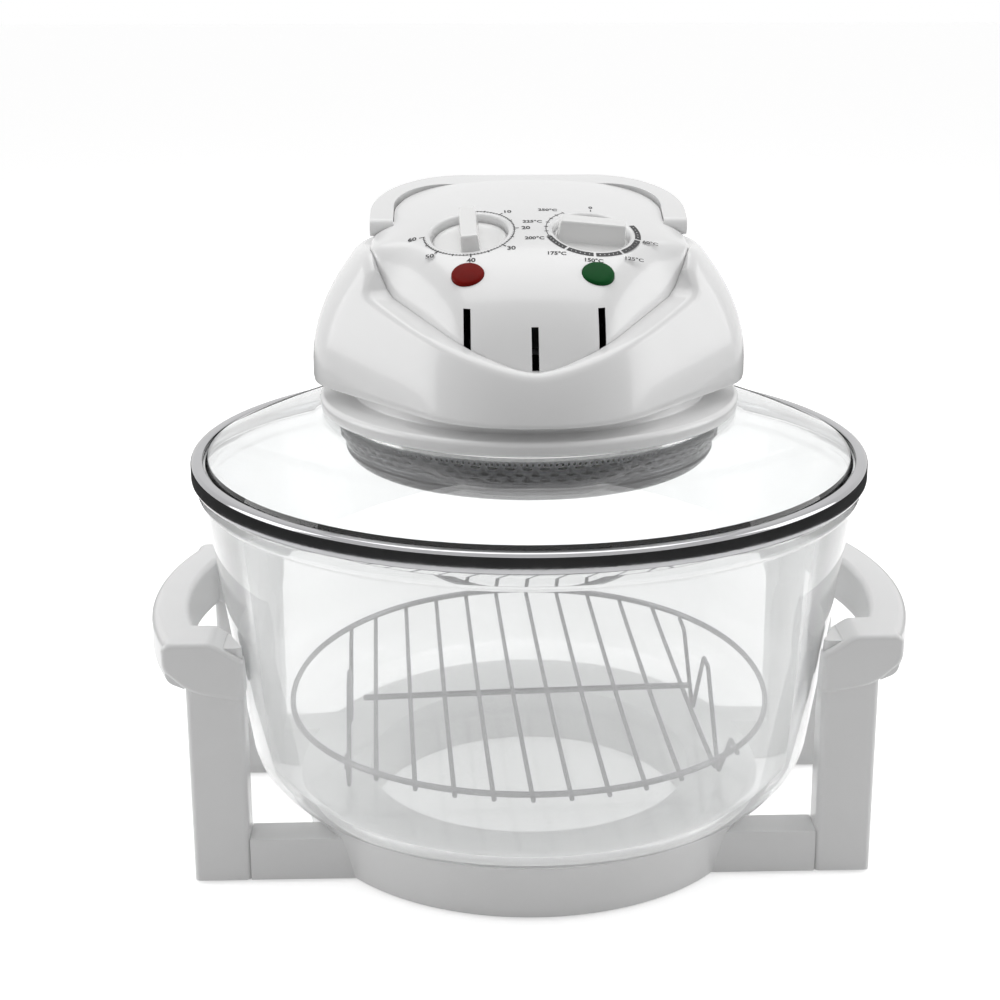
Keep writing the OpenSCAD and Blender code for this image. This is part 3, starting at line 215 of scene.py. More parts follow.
def ring_faces(rows, n, first=0, closed=False):
    """Quads between rings of n points each; closed joins the last ring to the first."""
    faces = []
    last = rows if closed else rows - 1
    for j in range(last):
        for i in range(n):
            k = (i + 1) % n
            a, b = first + j * n, first + ((j + 1) % rows) * n
            faces.append((a + i, a + k, b + k, b + i))
    return faces


def revolve(name, profile, slot, replace=(), n=192, z=0.0, closed=True, sharp=30.0):
    """Turns a profile of (radius, height) points round the Z axis."""
    verts = []
    for r, h in profile:
        r = max(r, 0.02)
        verts += [(r * math.cos(2 * math.pi * i / n), r * math.sin(2 * math.pi * i / n), z + h)
                  for i in range(n)]
    return piece(name, verts, ring_faces(len(profile), n, closed=closed), slot, replace, sharp)


def arc(cx, cy, r, a0, a1, n):
    return [(cx + r * math.cos(math.radians(a0 + (a1 - a0) * i / n)),
             cy + r * math.sin(math.radians(a0 + (a1 - a0) * i / n))) for i in range(n + 1)]


def smooth_path(points, r, n=6):
    """Path through points whose bends are rounded by arcs of about radius r."""
    pts = [Vector(p) for p in points]
    out = [pts[0]]
    for a, p, b in zip(pts, pts[1:], pts[2:]):
        u, w = (a - p).normalized(), (b - p).normalized()
        half = u.angle(w) / 2
        cut = min(r / math.tan(half), (a - p).length * 0.45, (b - p).length * 0.45)
        s, e = p + u * cut, p + w * cut
        for i in range(n + 1):
            t = i / n
            out.append(s * (1 - t) ** 2 + p * 2 * t * (1 - t) + e * t * t)
    return out + [pts[-1]]


def swept(points, r, n=12, closed=False):
    """(verts, faces) of a round wire of radius r along points, with domed ends."""
    pts = [Vector(p) for p in points]
    count = len(pts)
    verts, faces = [], []
    side = None
    for i, p in enumerate(pts):
        if closed:
            t = pts[(i + 1) % count] - pts[i - 1]
        else:
            t = pts[min(i + 1, count - 1)] - pts[max(i - 1, 0)]
        t.normalize()
        if side is None:
            side = t.cross(Vector((0, 0, 1)) if abs(t.z) < 0.9 else Vector((1, 0, 0)))
        side = (side - t * side.dot(t)).normalized()
        up = t.cross(side)
        verts += [p + (side * math.cos(2 * math.pi * k / n) + up * math.sin(2 * math.pi * k / n))
                  * r for k in range(n)]
    faces += ring_faces(count, n, closed=closed)
    if not closed:
        for ring, p, q in ((0, pts[0], pts[1]), ((count - 1) * n, pts[-1], pts[-2])):
            verts.append(p + (p - q).normalized() * r * 0.5)
            top = len(verts) - 1
            faces += [(ring + k, ring + (k + 1) % n, top) for k in range(n)]
    return verts, faces


def merged(parts):
    """One (verts, faces) from several."""
    verts, faces = [], []
    for v, f in parts:
        k = len(verts)
        verts += v
        faces += [tuple(i + k for i in face) for face in f]
    return verts, faces


def dressed(node, width=0.8, segments=3, angle=32.0, sharp=40.0):
    """Copy of a CAD node with its flat faces joined up and its edges rounded."""
    slot = SLOT[node]
    mesh = NODES[node].data.copy()
    mesh.name = node + "_skin"
    kept = mesh.attributes.get("custom_normal")
    if kept:
        mesh.attributes.remove(kept)
    bm = bmesh.new()
    bm.from_mesh(mesh)
    bmesh.ops.remove_doubles(bm, verts=bm.verts, dist=2e-6)
    bmesh.ops.dissolve_limit(bm, angle_limit=math.radians(1.0), verts=bm.verts, edges=bm.edges)
    bm.to_mesh(mesh)
    bm.free()
    obj = finish_piece(mesh, node + "_skin", slot, (node,), sharp)
    bevel = obj.modifiers.new("edges", "BEVEL")
    bevel.width = width * MM
    bevel.segments = segments
    bevel.limit_method = "ANGLE"
    bevel.angle_limit = math.radians(angle)
    bevel.harden_normals = True
    bevel.use_clamp_overlap = True
    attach(obj, body_of(node))


def body_of(node):
    for body, members in frame["record"]["behaviour"]["bodies"].items():
        if node in members:
            return body
    raise KeyError(node)


def rounded(corners, r, n, m):
    """Outline of a convex polygon with its corners rounded by the radii r, in arcs of n steps,
    and m more points on each straight."""
    k = len(corners)
    arcs = []
    for i in range(k):
        p, a, b = (Vector(corners[j % k]) for j in (i, i - 1, i + 1))
        u, w = (a - p).normalized(), (b - p).normalized()
        half = u.angle(w) / 2
        c = p + (u + w).normalized() * (r[i] / math.sin(half))
        s = p + u * (r[i] / math.tan(half)) - c
        total = math.pi - 2 * half
        arcs.append([c + Matrix.Rotation(total * j / n, 2) @ s for j in range(n + 1)])
    out = []
    for i in range(k):
        out += arcs[i]
        a, b = arcs[i][-1], arcs[(i + 1) % k][0]
        out += [a + (b - a) * j / (m + 1) for j in range(1, m + 1)]
    return out


def cutter(verts, faces):
    mesh = bpy.data.meshes.new("cutter")
    mesh.from_pydata([Vector(v) * MM for v in verts], [], faces)
    bm = bmesh.new()
    bm.from_mesh(mesh)
    bmesh.ops.recalc_face_normals(bm, faces=bm.faces)
    bm.to_mesh(mesh)
    bm.free()
    obj = bpy.data.objects.new("cutter", mesh)
    bpy.context.scene.collection.objects.link(obj)
    return obj


def boolean(obj, others, operation="DIFFERENCE"):
    """Applies booleans to obj's mesh and removes the other objects."""
    for other in others:
        m = obj.modifiers.new("cut", "BOOLEAN")
        m.operation = operation
        m.object = other
        m.solver = "MANIFOLD"
    bpy.context.view_layer.update()
    done = bpy.data.meshes.new_from_object(obj.evaluated_get(bpy.context.evaluated_depsgraph_get()))
    obj.modifiers.clear()
    obj.data = done
    for other in others:
        bpy.data.objects.remove(other)


def prism(outline, z0, z1, matrix=Matrix.Identity(4)):
    """(verts, faces) of an upright prism over a 2D outline."""
    n = len(outline)
    verts = [matrix @ Vector((x, y, z)) for z in (z0, z1) for x, y in outline]
    faces = [tuple(range(n - 1, -1, -1)), tuple(range(n, 2 * n))]
    faces += [(i, (i + 1) % n, n + (i + 1) % n, n + i) for i in range(n)]
    return verts, faces


def disc(r, n=96):
    return [(r * math.cos(2 * math.pi * i / n), r * math.sin(2 * math.pi * i / n))
            for i in range(n)]


def placed(part, matrix):
    return [matrix @ Vector(v) for v in part[0]], part[1]


def ring_stack(rows):
    """(verts, faces) through rings of points, with flat ends."""
    n = len(rows[0])
    verts = [Vector(v) for row in rows for v in row]
    faces = ring_faces(len(rows), n)
    faces.append(tuple(range(n - 1, -1, -1)))
    faces.append(tuple(range((len(rows) - 1) * n, len(rows) * n)))
    return verts, faces


def lathe(profile, n=96):
    return ring_stack([[(r * math.cos(2 * math.pi * i / n), r * math.sin(2 * math.pi * i / n), h)
                        for i in range(n)] for r, h in profile])


# CAD nodes keep their shape unless a piece below replaces them

for node, obj in NODES.items():
    for s in obj.material_slots:
        s.link = "OBJECT"
        s.material = MATS[SLOT[node]]


# Stand

for node in ("stand_base", "left_front_post", "left_rear_post", "right_front_post",
             "right_rear_post"):
    dressed(node, 1.0)


# Bowl

def bowl_profile():
    """Closed outline of the bowl's glass, from its middle below to its middle above."""
    cx = WALL_LOW_R - CORNER_R
    dx, dy = WALL_TOP_R - cx, BOWL_H - LIP_H - CORNER_R
    turn = math.degrees(math.atan2(dy, dx) - math.acos(CORNER_R / math.hypot(dx, dy)))
    wall_up = (-math.sin(math.radians(turn)), math.cos(math.radians(turn)))
    outer = [(0, 0)] + arc(cx, CORNER_R, CORNER_R, -90, turn, 24)
    outer += [(WALL_TOP_R - 0.2, BOWL_H - LIP_H - 1)]
    lip = (arc(LIP_R - 2, BOWL_H - LIP_H + 2.5, 2, -60, 0, 4)
           + arc(LIP_R - 2, BOWL_H - 2, 2, 0, 90, 6))
    foot = arc(cx, CORNER_R, CORNER_R - BOWL_T, turn, -90, 24)
    rise = (BOWL_H - foot[0][1]) / wall_up[1]
    top_in = (foot[0][0] + wall_up[0] * rise, BOWL_H)
    brim = [(top_in[0] + 1.6, BOWL_H), (top_in[0] + 0.5, BOWL_H - 0.45),
            (top_in[0] - wall_up[0] * 2.0, BOWL_H - 2 * wall_up[1])]
    return outer + lip + brim + foot + [(0, BOWL_T)]


bowl = revolve("bowl_glass_wall", bowl_profile(), "bowl_glass", ("glass_bowl",), 224, BOWL_Z)
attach(bowl, "bowl")


# Rack: chromed wires with bent ends

def rack_pieces():
    turn = Matrix.Rotation(math.radians(3), 3, "Z")
    r, wire_r, bar_r = 124.5, 1.5, 1.2
    drop = 2.2
    parts = [swept([turn @ Vector((r * math.cos(a), r * math.sin(a), RACK_Z))
                    for a in (2 * math.pi * i / 144 for i in range(144))], wire_r, 14, True)]
    for i in range(10):
        x = (i - 4.5) * 18
        y = math.sqrt(r * r - x * x) + wire_r
        parts.append(swept([turn @ Vector((x, s * y, RACK_Z - drop)) for s in (-1, 1)], bar_r, 12))
    z = RACK_Z - drop - 1.8
    parts.append(swept([turn @ Vector((s * 87, 0, z)) for s in (-1, 1)], wire_r, 14))
    grate = merged(parts)
    foot_z = FLOOR_Z + 0.3 + 1.45
    ring_y = math.sqrt(r * r - 95 * 95)
    low = RACK_Z - 2.7
    parts = []
    for x in (-95, 95):
        path = [(-ring_y - 1, low), (-ring_y + 14, low), (-37, foot_z), (-6, RACK_Z + 8),
                (6, RACK_Z + 8), (37, foot_z), (ring_y - 14, low), (ring_y + 1, low)]
        parts.append(swept([turn @ p for p in
                            smooth_path([Vector((x, a, b)) for a, b in path], 4)], bar_r, 12))
    return grate, merged(parts)


grate, legs = rack_pieces()
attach(piece("rack_ring_and_bars", *grate, "rack_wire", ("rack_grate",), 50), "rack")
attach(piece("rack_wire_legs", *legs, "rack_wire", ("rack_legs",), 50), "rack")


# Lid

def dome(t):
    r = RIM_R - 2 - (RIM_R - 2 - HOLE_R - 4) * t
    return r, RIM_H - 2 - GLASS_T + (DOME_H - RIM_H + 2) * (1.25 * t - 0.25 * t * t)


rim = (arc(RIM_R - 4.5, 1.6, 1.5, 180, 270, 5) + arc(RIM_R - 1.9, 1.9, 1.9, -90, 0, 6)
       + arc(RIM_R - 1.9, RIM_H - 1.9, 1.9, 0, 90, 6)
       + arc(RIM_R - 5.2, RIM_H - 0.7, 0.7, 90, 180, 4)
       + [(RIM_R - 5.9, RIM_H - 1.7), (RIM_R - 1.7, RIM_H - 1.75), (RIM_R - 1.7, 3.8),
          (RIM_R - 6, 3.8)])
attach(revolve("lid_steel_rim", rim, "rim_steel", ("lid_rim",), 224, LID_Z), "lid")

edge = RIM_R - 1.8
base = RIM_H - 2 - GLASS_T
sheet = ([(edge, base), (edge, base + GLASS_T), (RIM_R - 7, base + GLASS_T)]
         + [(dome(i / 30)[0], dome(i / 30)[1] + GLASS_T) for i in range(3, 29)]
         + [(HOLE_R + 4, DOME_H), (HOLE_R, DOME_H), (HOLE_R, DOME_H - GLASS_T),
            (HOLE_R + 4, DOME_H - GLASS_T)]
         + [dome(i / 30) for i in range(28, 2, -1)] + [(RIM_R - 7, base)])
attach(revolve("lid_glass_dome", sheet, "lid_glass", ("lid_glass",), 224, LID_Z), "lid")

collar = ([(84, FLANGE_Z)] + arc(COLLAR_R - 1.6, FLANGE_Z + 1.6, 1.6, -90, 0, 6)
          + arc(COLLAR_R - 2.4, NECK_Z - 2.4, 2.4, 0, 90, 8)
          + arc(88, NECK_Z + 1, 1, 270, 180, 4) + [(87, NECK_Z + 6), (78, NECK_Z + 6),
                                                   (78, NECK_Z - 2.5), (84, NECK_Z - 2.5)])
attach(revolve("collar_moulding", collar, "head_plastic", ("lid_collar",), 192, LID_Z), "lid")


# Heater guard: a pressed dish whose wall and floor are punched

def punched(rows_of, count, skip_rows, hole_u, hole_v, stagger=True):
    """Skin of cells through rings of points; each cell of a punched row has a slot in it."""
    verts, faces = [], []

    def at(j, u):
        return rows_of(j, 2 * math.pi * u / count)

    rows = len(skip_rows)
    for j in range(rows):
        shift = 0.5 if stagger and j % 2 else 0.0
        for i in range(count):
            a, b = i + shift, i + shift + 1
            cell = [at(j, a), at(j, b), at(j + 1, b), at(j + 1, a)]
            k = len(verts)
            if skip_rows[j]:
                verts += cell
                faces.append((k, k + 1, k + 2, k + 3))
                continue
            lo, hi = 0.5 - hole_v / 2, 0.5 + hole_v / 2
            ring = []
            for u, v in [(0.5 + hole_u / 2 * math.cos(t),
                          0.5 + hole_v / 2 * math.sin(t))
                         for t in (2 * math.pi * q / 12 + math.pi / 12 for q in range(12))]:
                ring.append(at(j + v, a + u))
            verts += cell + ring
            c = [k, k + 1, k + 2, k + 3]
            h = [k + 4 + q for q in range(12)]
            faces += [(c[1], c[2], h[0], h[11]), (c[2], h[1], h[0]), (c[2], h[2], h[1]),
                      (c[2], c[3], h[3], h[2]), (c[3], h[4], h[3]), (c[3], h[5], h[4]),
                      (c[3], c[0], h[6], h[5]), (c[0], h[7], h[6]), (c[0], h[8], h[7]),
                      (c[0], c[1], h[9], h[8]), (c[1], h[10], h[9]), (c[1], h[11], h[10])]
    return verts, faces


def guard_line():
    """Outer line of the dish as (radius, height), from the floor's edge up the wall."""
    low_r = GUARD_R - 3
    turn_r = 9
    return arc(low_r - turn_r, turn_r, turn_r, -90, 0, 8) + [
        (low_r + (GUARD_R - low_r) * t, turn_r + (GUARD_H - turn_r) * t)
        for t in (0.19, 0.38, 0.57, 0.785, 1.0)]


LINE = guard_line()


def on_line(j):
    k = min(int(j), len(LINE) - 2)
    t = j - k
    return (LINE[k][0] + (LINE[k + 1][0] - LINE[k][0]) * t,
            LINE[k][1] + (LINE[k + 1][1] - LINE[k][1]) * t)


def wall_point(j, a):
    r, h = on_line(j)
    return (r * math.cos(a), r * math.sin(a), LID_Z + GUARD_Z + h)


def floor_point(j, a):
    r = 6 + (GUARD_R - 12 - 6) * j / 14
    return (r * math.cos(a), r * math.sin(a), LID_Z + GUARD_Z)


wall = punched(wall_point, 72, [1] * 8 + [0] * 3, 0.62, 0.55)
ribs = punched(lambda j, a: wall_point(j + 11, a), 216, [0, 0], 0.5, 0.86, False)
cap = ([(6 * math.cos(2 * math.pi * i / 72), 6 * math.sin(2 * math.pi * i / 72), LID_Z + GUARD_Z)
        for i in range(72)], [tuple(range(72))])
floor_parts = []
for j0, j1, count in ((0, 3, 24), (3, 7, 48), (7, 14, 84)):
    floor_parts.append(punched(lambda j, a, j0=j0: floor_point(j + j0, a), count,
                               [(j + j0) % 2 == 0 for j in range(j1 - j0)], 0.6, 0.55))
rim_flange = revolve("guard_flange", [(GUARD_R, GUARD_H), (GUARD_R, GUARD_H + 1), (85, GUARD_H + 1),
                                      (85, GUARD_H)], "guard_steel", (), 192, LID_Z + GUARD_Z)
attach(rim_flange, "lid")
guard = piece("guard_dish", *merged([wall, ribs, cap] + floor_parts), "guard_steel",
              ("heater_guard",), 60)
bm = bmesh.new()
bm.from_mesh(guard.data)
bmesh.ops.remove_doubles(bm, verts=bm.verts, dist=2e-6)
bmesh.ops.recalc_face_normals(bm, faces=bm.faces)
bm.to_mesh(guard.data)
bm.free()
guard.data.polygons.foreach_set("use_smooth", [True] * len(guard.data.polygons))
thick = guard.modifiers.new("sheet", "SOLIDIFY")
thick.thickness = 0.8 * MM
thick.offset = -1
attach(guard, "lid")


# Head: the shells follow the part's source, with closer points and rounder corners

def smooth(t):
    t = max(0.0, min(1.0, t))
    return t * t * (3 - 2 * t)


def plan(front_x, front, side_x, y0, y1, back_x, back, r):
    """Eight-sided plan; r gives the radii of its right side's corners, from the front."""
    return rounded([(front_x, -front), (side_x, y0), (side_x, y1), (back_x, back),
                    (-back_x, back), (-side_x, y1), (-side_x, y0), (-front_x, -front)],
                   r + r[::-1], 14, 9)


def body_x(h):
    return HEAD_X - 27.5 * (max(0, h - 10) / 60) ** 2


def body_front(h):
    return HEAD_FRONT - 4 * (h / 24) - 4 * (h / 24) ** 2


def body_back(h):
    return HEAD_BACK - 28 * (h / 70) ** 2


def body_back_x(h):
    return 50 + 14 * (h / 70) ** 2


@functools.lru_cache(maxsize=None)
def body_plan(h, inset):
    return plan(34 - inset / 2, body_front(h) - inset, body_x(h) - inset, -15, 15,
                body_back_x(h) - inset / 2, body_back(h) - inset, BODY_RADII)


def lip_height(p):
    """Height of the lower shell's edge beside point p of the cover's plan."""
    rise = math.hypot(LIP_BEND, LIP_SLOPE * p.x) - LIP_BEND
    return FRONT_LIP + rise + (SIDE_LIP - FRONT_LIP - rise) * smooth((p.y + 32) / 18)


def cover_plan(grow):
    return plan(27, COVER_FRONT + grow, COVER_X + grow, -16, 10, 57, COVER_BACK + grow,
                COVER_RADII)


def along(y):
    return (COVER_BACK - y) / (COVER_BACK + COVER_FRONT)


def face_h(x, y):
    u = along(y)
    return (COVER_TOP - COVER_FALL * (0.115 * u + 0.515 * u * u + 0.37 * abs(u) ** 10)
            - x * x / (2 * CROWN_R))


def face_slope(y):
    u = along(y)
    return COVER_FALL / (COVER_BACK + COVER_FRONT) * (0.115 + 1.03 * u + 3.7 * abs(u) ** 9)


COVER_MID = Vector((0, -10))


def face_point(p, s, lower):
    """Point of the cover's face at share s of the way from its middle to p of its plan."""
    q = COVER_MID + (p - COVER_MID) * s
    start = EDGE_START + 0.2 * smooth((p.y - 5) / 25)
    e = max(0.0, s - start) / (1 - start)
    fall = max(0.0, face_h(p.x, p.y) - lip_height(p) - EDGE_PROUD)
    return (q.x, q.y, HEAD_Z + face_h(q.x, q.y) - lower
            - fall * (1 - math.sqrt(max(0.0, 1 - e * e))))


def face_shares(turn, rows):
    """Shares from the cover's edge to its middle, close together where the edge is round."""
    return ([EDGE_START + (1 - EDGE_START) * math.cos(math.radians(a)) for a in range(0, 90, turn)]
            + [EDGE_START * i / rows for i in range(rows, 0, -1)])


BASE_PLAN = body_plan(0, 0)
LIPS = [lip_height(p) for p in cover_plan(0)]
N = len(BASE_PLAN)


def body_ring(height_of, inset):
    """Ring at the height that height_of gives for each point's lip."""
    ring = []
    for i in range(N):
        h = height_of(LIPS[i])
        p = body_plan(h, inset)[i]
        ring.append((p.x, p.y, HEAD_Z + h))
    return ring


def head_shell():
    deck = cover_plan(0.3)
    rows = [[(p.x, p.y, HEAD_Z) for p in body_plan(0, 1.5)],
            [(p.x, p.y, HEAD_Z + 0.4) for p in body_plan(0.4, 0.45)]]
    for f in (0.02, 0.08, 0.16, 0.26, 0.36, 0.46, 0.56, 0.66, 0.76, 0.85):
        rows.append(body_ring(lambda lip, f=f: 1.5 + (lip - 6.5) * f, 0))
    for a in range(0, 91, 15):
        up, back = math.sin(math.radians(a)), 1 - math.cos(math.radians(a))
        rows.append(body_ring(lambda lip, up=up: lip - 4 + 4 * up, 3 * back))
    rows.append([(deck[i].x, deck[i].y, HEAD_Z + LIPS[i] - 1) for i in range(N)])
    rows.append([(deck[i].x, deck[i].y, HEAD_Z + LIPS[i] - 3.4) for i in range(N)])
    for f in (0.9, 0.6, 0.3):
        rows.append(body_ring(lambda lip, f=f: (lip - 4.5) * f, SHELL_T))
    foot = body_plan(0, SHELL_T)
    rows.append([(p.x, p.y, HEAD_Z + SHELL_T) for p in foot])
    for z in (SHELL_T, 0):
        rows.append([(p.normalized().x * 82, p.normalized().y * 82, HEAD_Z + z)
                     for p in BASE_PLAN])
    verts = [v for row in rows for v in row]
    return verts, ring_faces(len(rows), N, closed=True)


def cover_skin(grow, lower, depth, shares):
    p = cover_plan(grow)
    rows = [[(q.x, q.y, HEAD_Z + min(lip_height(q), face_h(q.x, q.y)) - depth) for q in p]]
    rows += [[face_point(q, s, lower) for q in p] for s in shares]
    verts = [v for row in rows for v in row]
    faces = ring_faces(len(rows), N)
    verts += [(0, -10, HEAD_Z + FRONT_LIP - depth),
              (0, -10, HEAD_Z + face_h(0, -10) - lower)]
    a, b, last = len(verts) - 2, len(verts) - 1, (len(rows) - 1) * N
    faces += [(a, (i + 1) % N, i) for i in range(N)]
    faces += [(b, last + i, last + (i + 1) % N) for i in range(N)]
    return verts, faces


def face_frame(x, y):
    """Matrix of the cover's face at x, y, with its Z axis square to the face, in millimetres."""
    roll = math.atan(x / CROWN_R)
    tilt = math.atan(face_slope(y) * math.cos(roll))
    return (Matrix.Translation((x, y, HEAD_Z + face_h(x, y)))
            @ Matrix.Rotation(roll, 4, "Y") @ Matrix.Rotation(tilt, 4, "X"))


def pivot_frame():
    return Matrix.Translation(PIVOT) @ Matrix.Rotation(math.radians(BAIL_SLOPE), 4, "X")


def u_outline(half, reach, r, n=20):
    """Outline of the space inside the handle: straight sides and round back corners."""
    right = arc(half - r, reach - r, r, 0, 90, n)
    left = arc(-half + r, reach - r, r, 90, 180, n)
    return [(half, -60)] + right + left + [(-half, -60)]


def channel(grow):
    """Cutter for the handle's channel: all round what lies inside the handle."""
    deep = BAIL_T / 2 + 0.3 + grow
    inner = u_outline(BAIL_X - BAIL_W - 0.3 - grow, BAIL_L - BAIL_W - 0.8 - grow, PANEL_R)
    front = -BAIL_T / 2 - 1 - grow
    inner = [(x, max(y, front)) for x, y in inner]
    outer = [(-2 * BAIL_X, front), (-2 * BAIL_X, 120), (2 * BAIL_X, 120), (2 * BAIL_X, front)]
    return prism(inner + outer, -deep, 60 - deep, pivot_frame())


def head_cover():
    shell = cutter(*cover_skin(0, 0, 6, face_shares(6, 14)))
    inner = cutter(*cover_skin(-SHELL_T, SHELL_T, 8, face_shares(15, 3)))
    keep = [cutter(*prism(disc(RECESS_D / 2 + 2.5), -CUP_LOW, 20, face_frame(s * KNOB_X, -KNOB_Y)))
            for s in (-1, 1)]
    keep.append(cutter(*channel(SHELL_T)))
    boolean(inner, keep)
    cuts = [inner]
    for s in (-1, 1):
        spot = face_frame(s * KNOB_X, -KNOB_Y)
        r = RECESS_D / 2
        recess = lathe([(r, -RECESS), (r, -2.3), (r + 0.15, -1.6), (r + 0.5, -1.15),
                        (r + 1.0, -0.85), (r + 1.7, -0.68), (r + 1.7, 20)])
        cuts.append(cutter(*placed(recess, spot)))
        cuts.append(cutter(*prism(disc(3.4, 32), -RECESS - 4, 2, spot)))
        cuts.append(cutter(*prism(disc(LENS_D / 2 + 0.2, 64), -10, 10,
                                  face_frame(s * LAMP_X, -LAMP_Y))))
    for x, h in ((0, FRONT_LIP + 2), (-31, FRONT_LIP + 9), (31, FRONT_LIP + 9)):
        z, half = HEAD_Z + h - VENT_LOWER, VENT_W / 2
        slot = [(x - half, -108), (x + half, -108), (x + half, -58), (x - half, -58)]
        cuts.append(cutter(*prism(slot, z, z + VENT_H)))
    cuts.append(cutter(*channel(0)))
    across = Matrix.Translation(PIVOT) @ Matrix.Rotation(math.pi / 2, 4, "Y")
    cuts.append(cutter(*prism(disc(PIN_D / 2 + 0.1, 32), -BAIL_X, BAIL_X, across)))
    plunger = pivot_frame() @ Matrix.Translation((BAIL_X - BAIL_W + 1.5, PLUNGER_Y, 0))
    cuts.append(cutter(*prism(disc(PLUNGER_D / 2 + 0.4, 32), -BAIL_T / 2 - SHELL_T - 1.3, -1,
                              plunger)))
    boolean(shell, cuts)
    mesh = shell.data
    bpy.data.objects.remove(shell)
    return mesh


# Grips: a curved band, deeper on its inner side, between two cheeks that cap the posts

GRIP_R, GRIP_W, GRIP_TOP, GRIP_OUT_H, GRIP_IN_H, CHEEK_H = 173, 19, 129.5, 21, 30, 31
POST_IN, POST_W, POST_D, POST_Y, CHEEK_D = 141, 28, 19, 62.5, 27
BOWL_CLEAR, FILLET = 2.5, 2.4


def inset(outline, d):
    """A closed outline moved inwards by d."""
    out = []
    n = len(outline)
    for i in range(n):
        a, p, b = outline[i - 1], outline[i], outline[(i + 1) % n]
        u, w = (p - a).normalized(), (b - p).normalized()
        side = Vector((-u.y - w.y, u.x + w.x)).normalized()
        out.append(p + side * (d / max(0.5, side.dot(Vector((-u.y, u.x))))))
    return out


def grip(side):
    reach = POST_Y + CHEEK_D / 2
    low = GRIP_TOP - CHEEK_H
    section = rounded([Vector(v) for v in (
        (GRIP_R + GRIP_W, GRIP_TOP - GRIP_OUT_H), (GRIP_R + GRIP_W, GRIP_TOP),
        (GRIP_R, GRIP_TOP), (GRIP_R, GRIP_TOP - GRIP_IN_H))], [6, 5, 3, 5], 8, 0)
    steps = 72
    rows = []
    for k in range(steps + 1):
        t = 2 * k / steps - 1
        rows.append([(v.x * math.cos(t * math.asin((reach - 4) / v.x)),
                      v.x * math.sin(t * math.asin((reach - 4) / v.x)), v.y) for v in section])
    band = cutter(*ring_stack(rows))
    out_x = math.sqrt((GRIP_R + GRIP_W) ** 2 - reach ** 2) + 3
    in_x = math.sqrt(GRIP_R ** 2 - reach ** 2)
    front = rounded([Vector(v) for v in (
        (out_x, low + 17), (out_x, GRIP_TOP), (in_x, GRIP_TOP), (POST_IN - 1, GRIP_TOP - 10),
        (POST_IN - 1, low), (POST_IN + 25, low + 5))], [8, 5, 8, 2.6, 2.6, 25], 8, 0)
    ends = [(FILLET * (1 - math.sin(math.radians(a))), FILLET * (1 - math.cos(math.radians(a))))
            for a in range(0, 91, 15)]
    cheeks = []
    for y in (-1, 1):
        rows = [[(v.x, y * (reach - along_y), v.y) for v in inset(front, back)]
                for back, along_y in ends]
        rows += [[(v.x, y * (reach - CHEEK_D + along_y), v.y) for v in inset(front, back)]
                 for back, along_y in reversed(ends)]
        cheeks.append(cutter(*ring_stack(rows)))
    boolean(band, cheeks, "UNION")
    rooms = []
    for y in (-1, 1):
        x0, x1 = POST_IN - 0.3, POST_IN + POST_W + 0.3
        y0, y1 = y * POST_Y - POST_D / 2 - 0.3, y * POST_Y + POST_D / 2 + 0.3
        rooms.append(cutter(*prism([(x0, y0), (x1, y0), (x1, y1), (x0, y1)], 0, GRIP_TOP - 3.7)))
    outer = bowl_profile()[:26]
    room = [(r + BOWL_CLEAR, BOWL_Z + z) for r, z in outer[1:]]
    room = [(1, BOWL_Z - BOWL_CLEAR)] + room + [(WALL_TOP_R + BOWL_CLEAR, BOWL_Z + BOWL_H + 1),
                                               (1, BOWL_Z + BOWL_H + 1)]
    rooms.append(cutter(*lathe(room, 160)))
    boolean(band, rooms)
    mesh = band.data
    bpy.data.objects.remove(band)
    if side < 0:
        mesh.transform(Matrix.Scale(-1, 4, (1, 0, 0)))
    name = "right_grip" if side > 0 else "left_grip"
    obj = finish_piece(mesh, name + "_moulding", SLOT[name], (name,), 32)
    obj.modifiers.new("flat_faces", "WEIGHTED_NORMAL").keep_sharp = True
    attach(obj, body_of(name))


grip(1)
grip(-1)


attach(piece("head_lower_shell", *head_shell(), "head_plastic", ("head_body",), 35), "lid")
cover = finish_piece(head_cover(), "head_cover_shell", "head_plastic", ("control_cover",), 35)
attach(cover, "lid")


# Handle, knobs and lamps

dressed("carry_handle", 1.8, 4)


def bar_outline(half, reach, n=14):
    """Outline of the finger bar: straight sides between the arcs of a circle."""
    a = math.degrees(math.asin(half / reach))
    top = arc(0, 0, reach, 90 - a, 90 + a, n)
    low = arc(0, 0, reach, 270 - a, 270 + a, n)
    side = [(-half, top[-1][1] * (1 - 2 * i / 8)) for i in range(1, 8)]
    other = [(half, low[-1][1] * (1 - 2 * i / 8)) for i in range(1, 8)]
    return top + side + low + other


def knob(name, x, turn, nodes, body):
    base = -RECESS + KNOB_GAP
    r = KNOB_D / 2
    skirt = lathe([(3.2, base), (r - 0.4, base), (r, base + 0.4), (r, base + 0.8),
                   (r - 0.15, base + 1.15), (r - 0.5, base + 1.3), (r - 2, base + 1.3),
                   (r - 2.6, base + 1.15), (r - 3.4, base + 0.95), (3.4, base + 0.9)])
    rows = []
    top = base + BAR_H
    for z, inset in ((base + 0.5, -0.35), (base + 1.3, -0.2), (base + 2, 0.05), (base + 5, 0.2),
                     (base + 8.5, 0.4), (top - 1.3, 0.5), (top - 0.85, 0.57), (top - 0.45, 0.75),
                     (top - 0.15, 1.1), (top, 1.6)):
        rows.append([(a, b, z) for a, b in bar_outline(4.5 - inset, 16.5 - inset)])
    rows.append([(a * 0.5, b * 0.9, top - 0.1) for a, b in bar_outline(2.6, 14.6)])
    bar = placed(ring_stack(rows), Matrix.Rotation(math.radians(turn), 4, "Z"))
    obj = piece(name, *placed(merged([skirt, bar]), face_frame(x, -KNOB_Y)), "knob_plastic",
                nodes, 40)
    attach(obj, body)


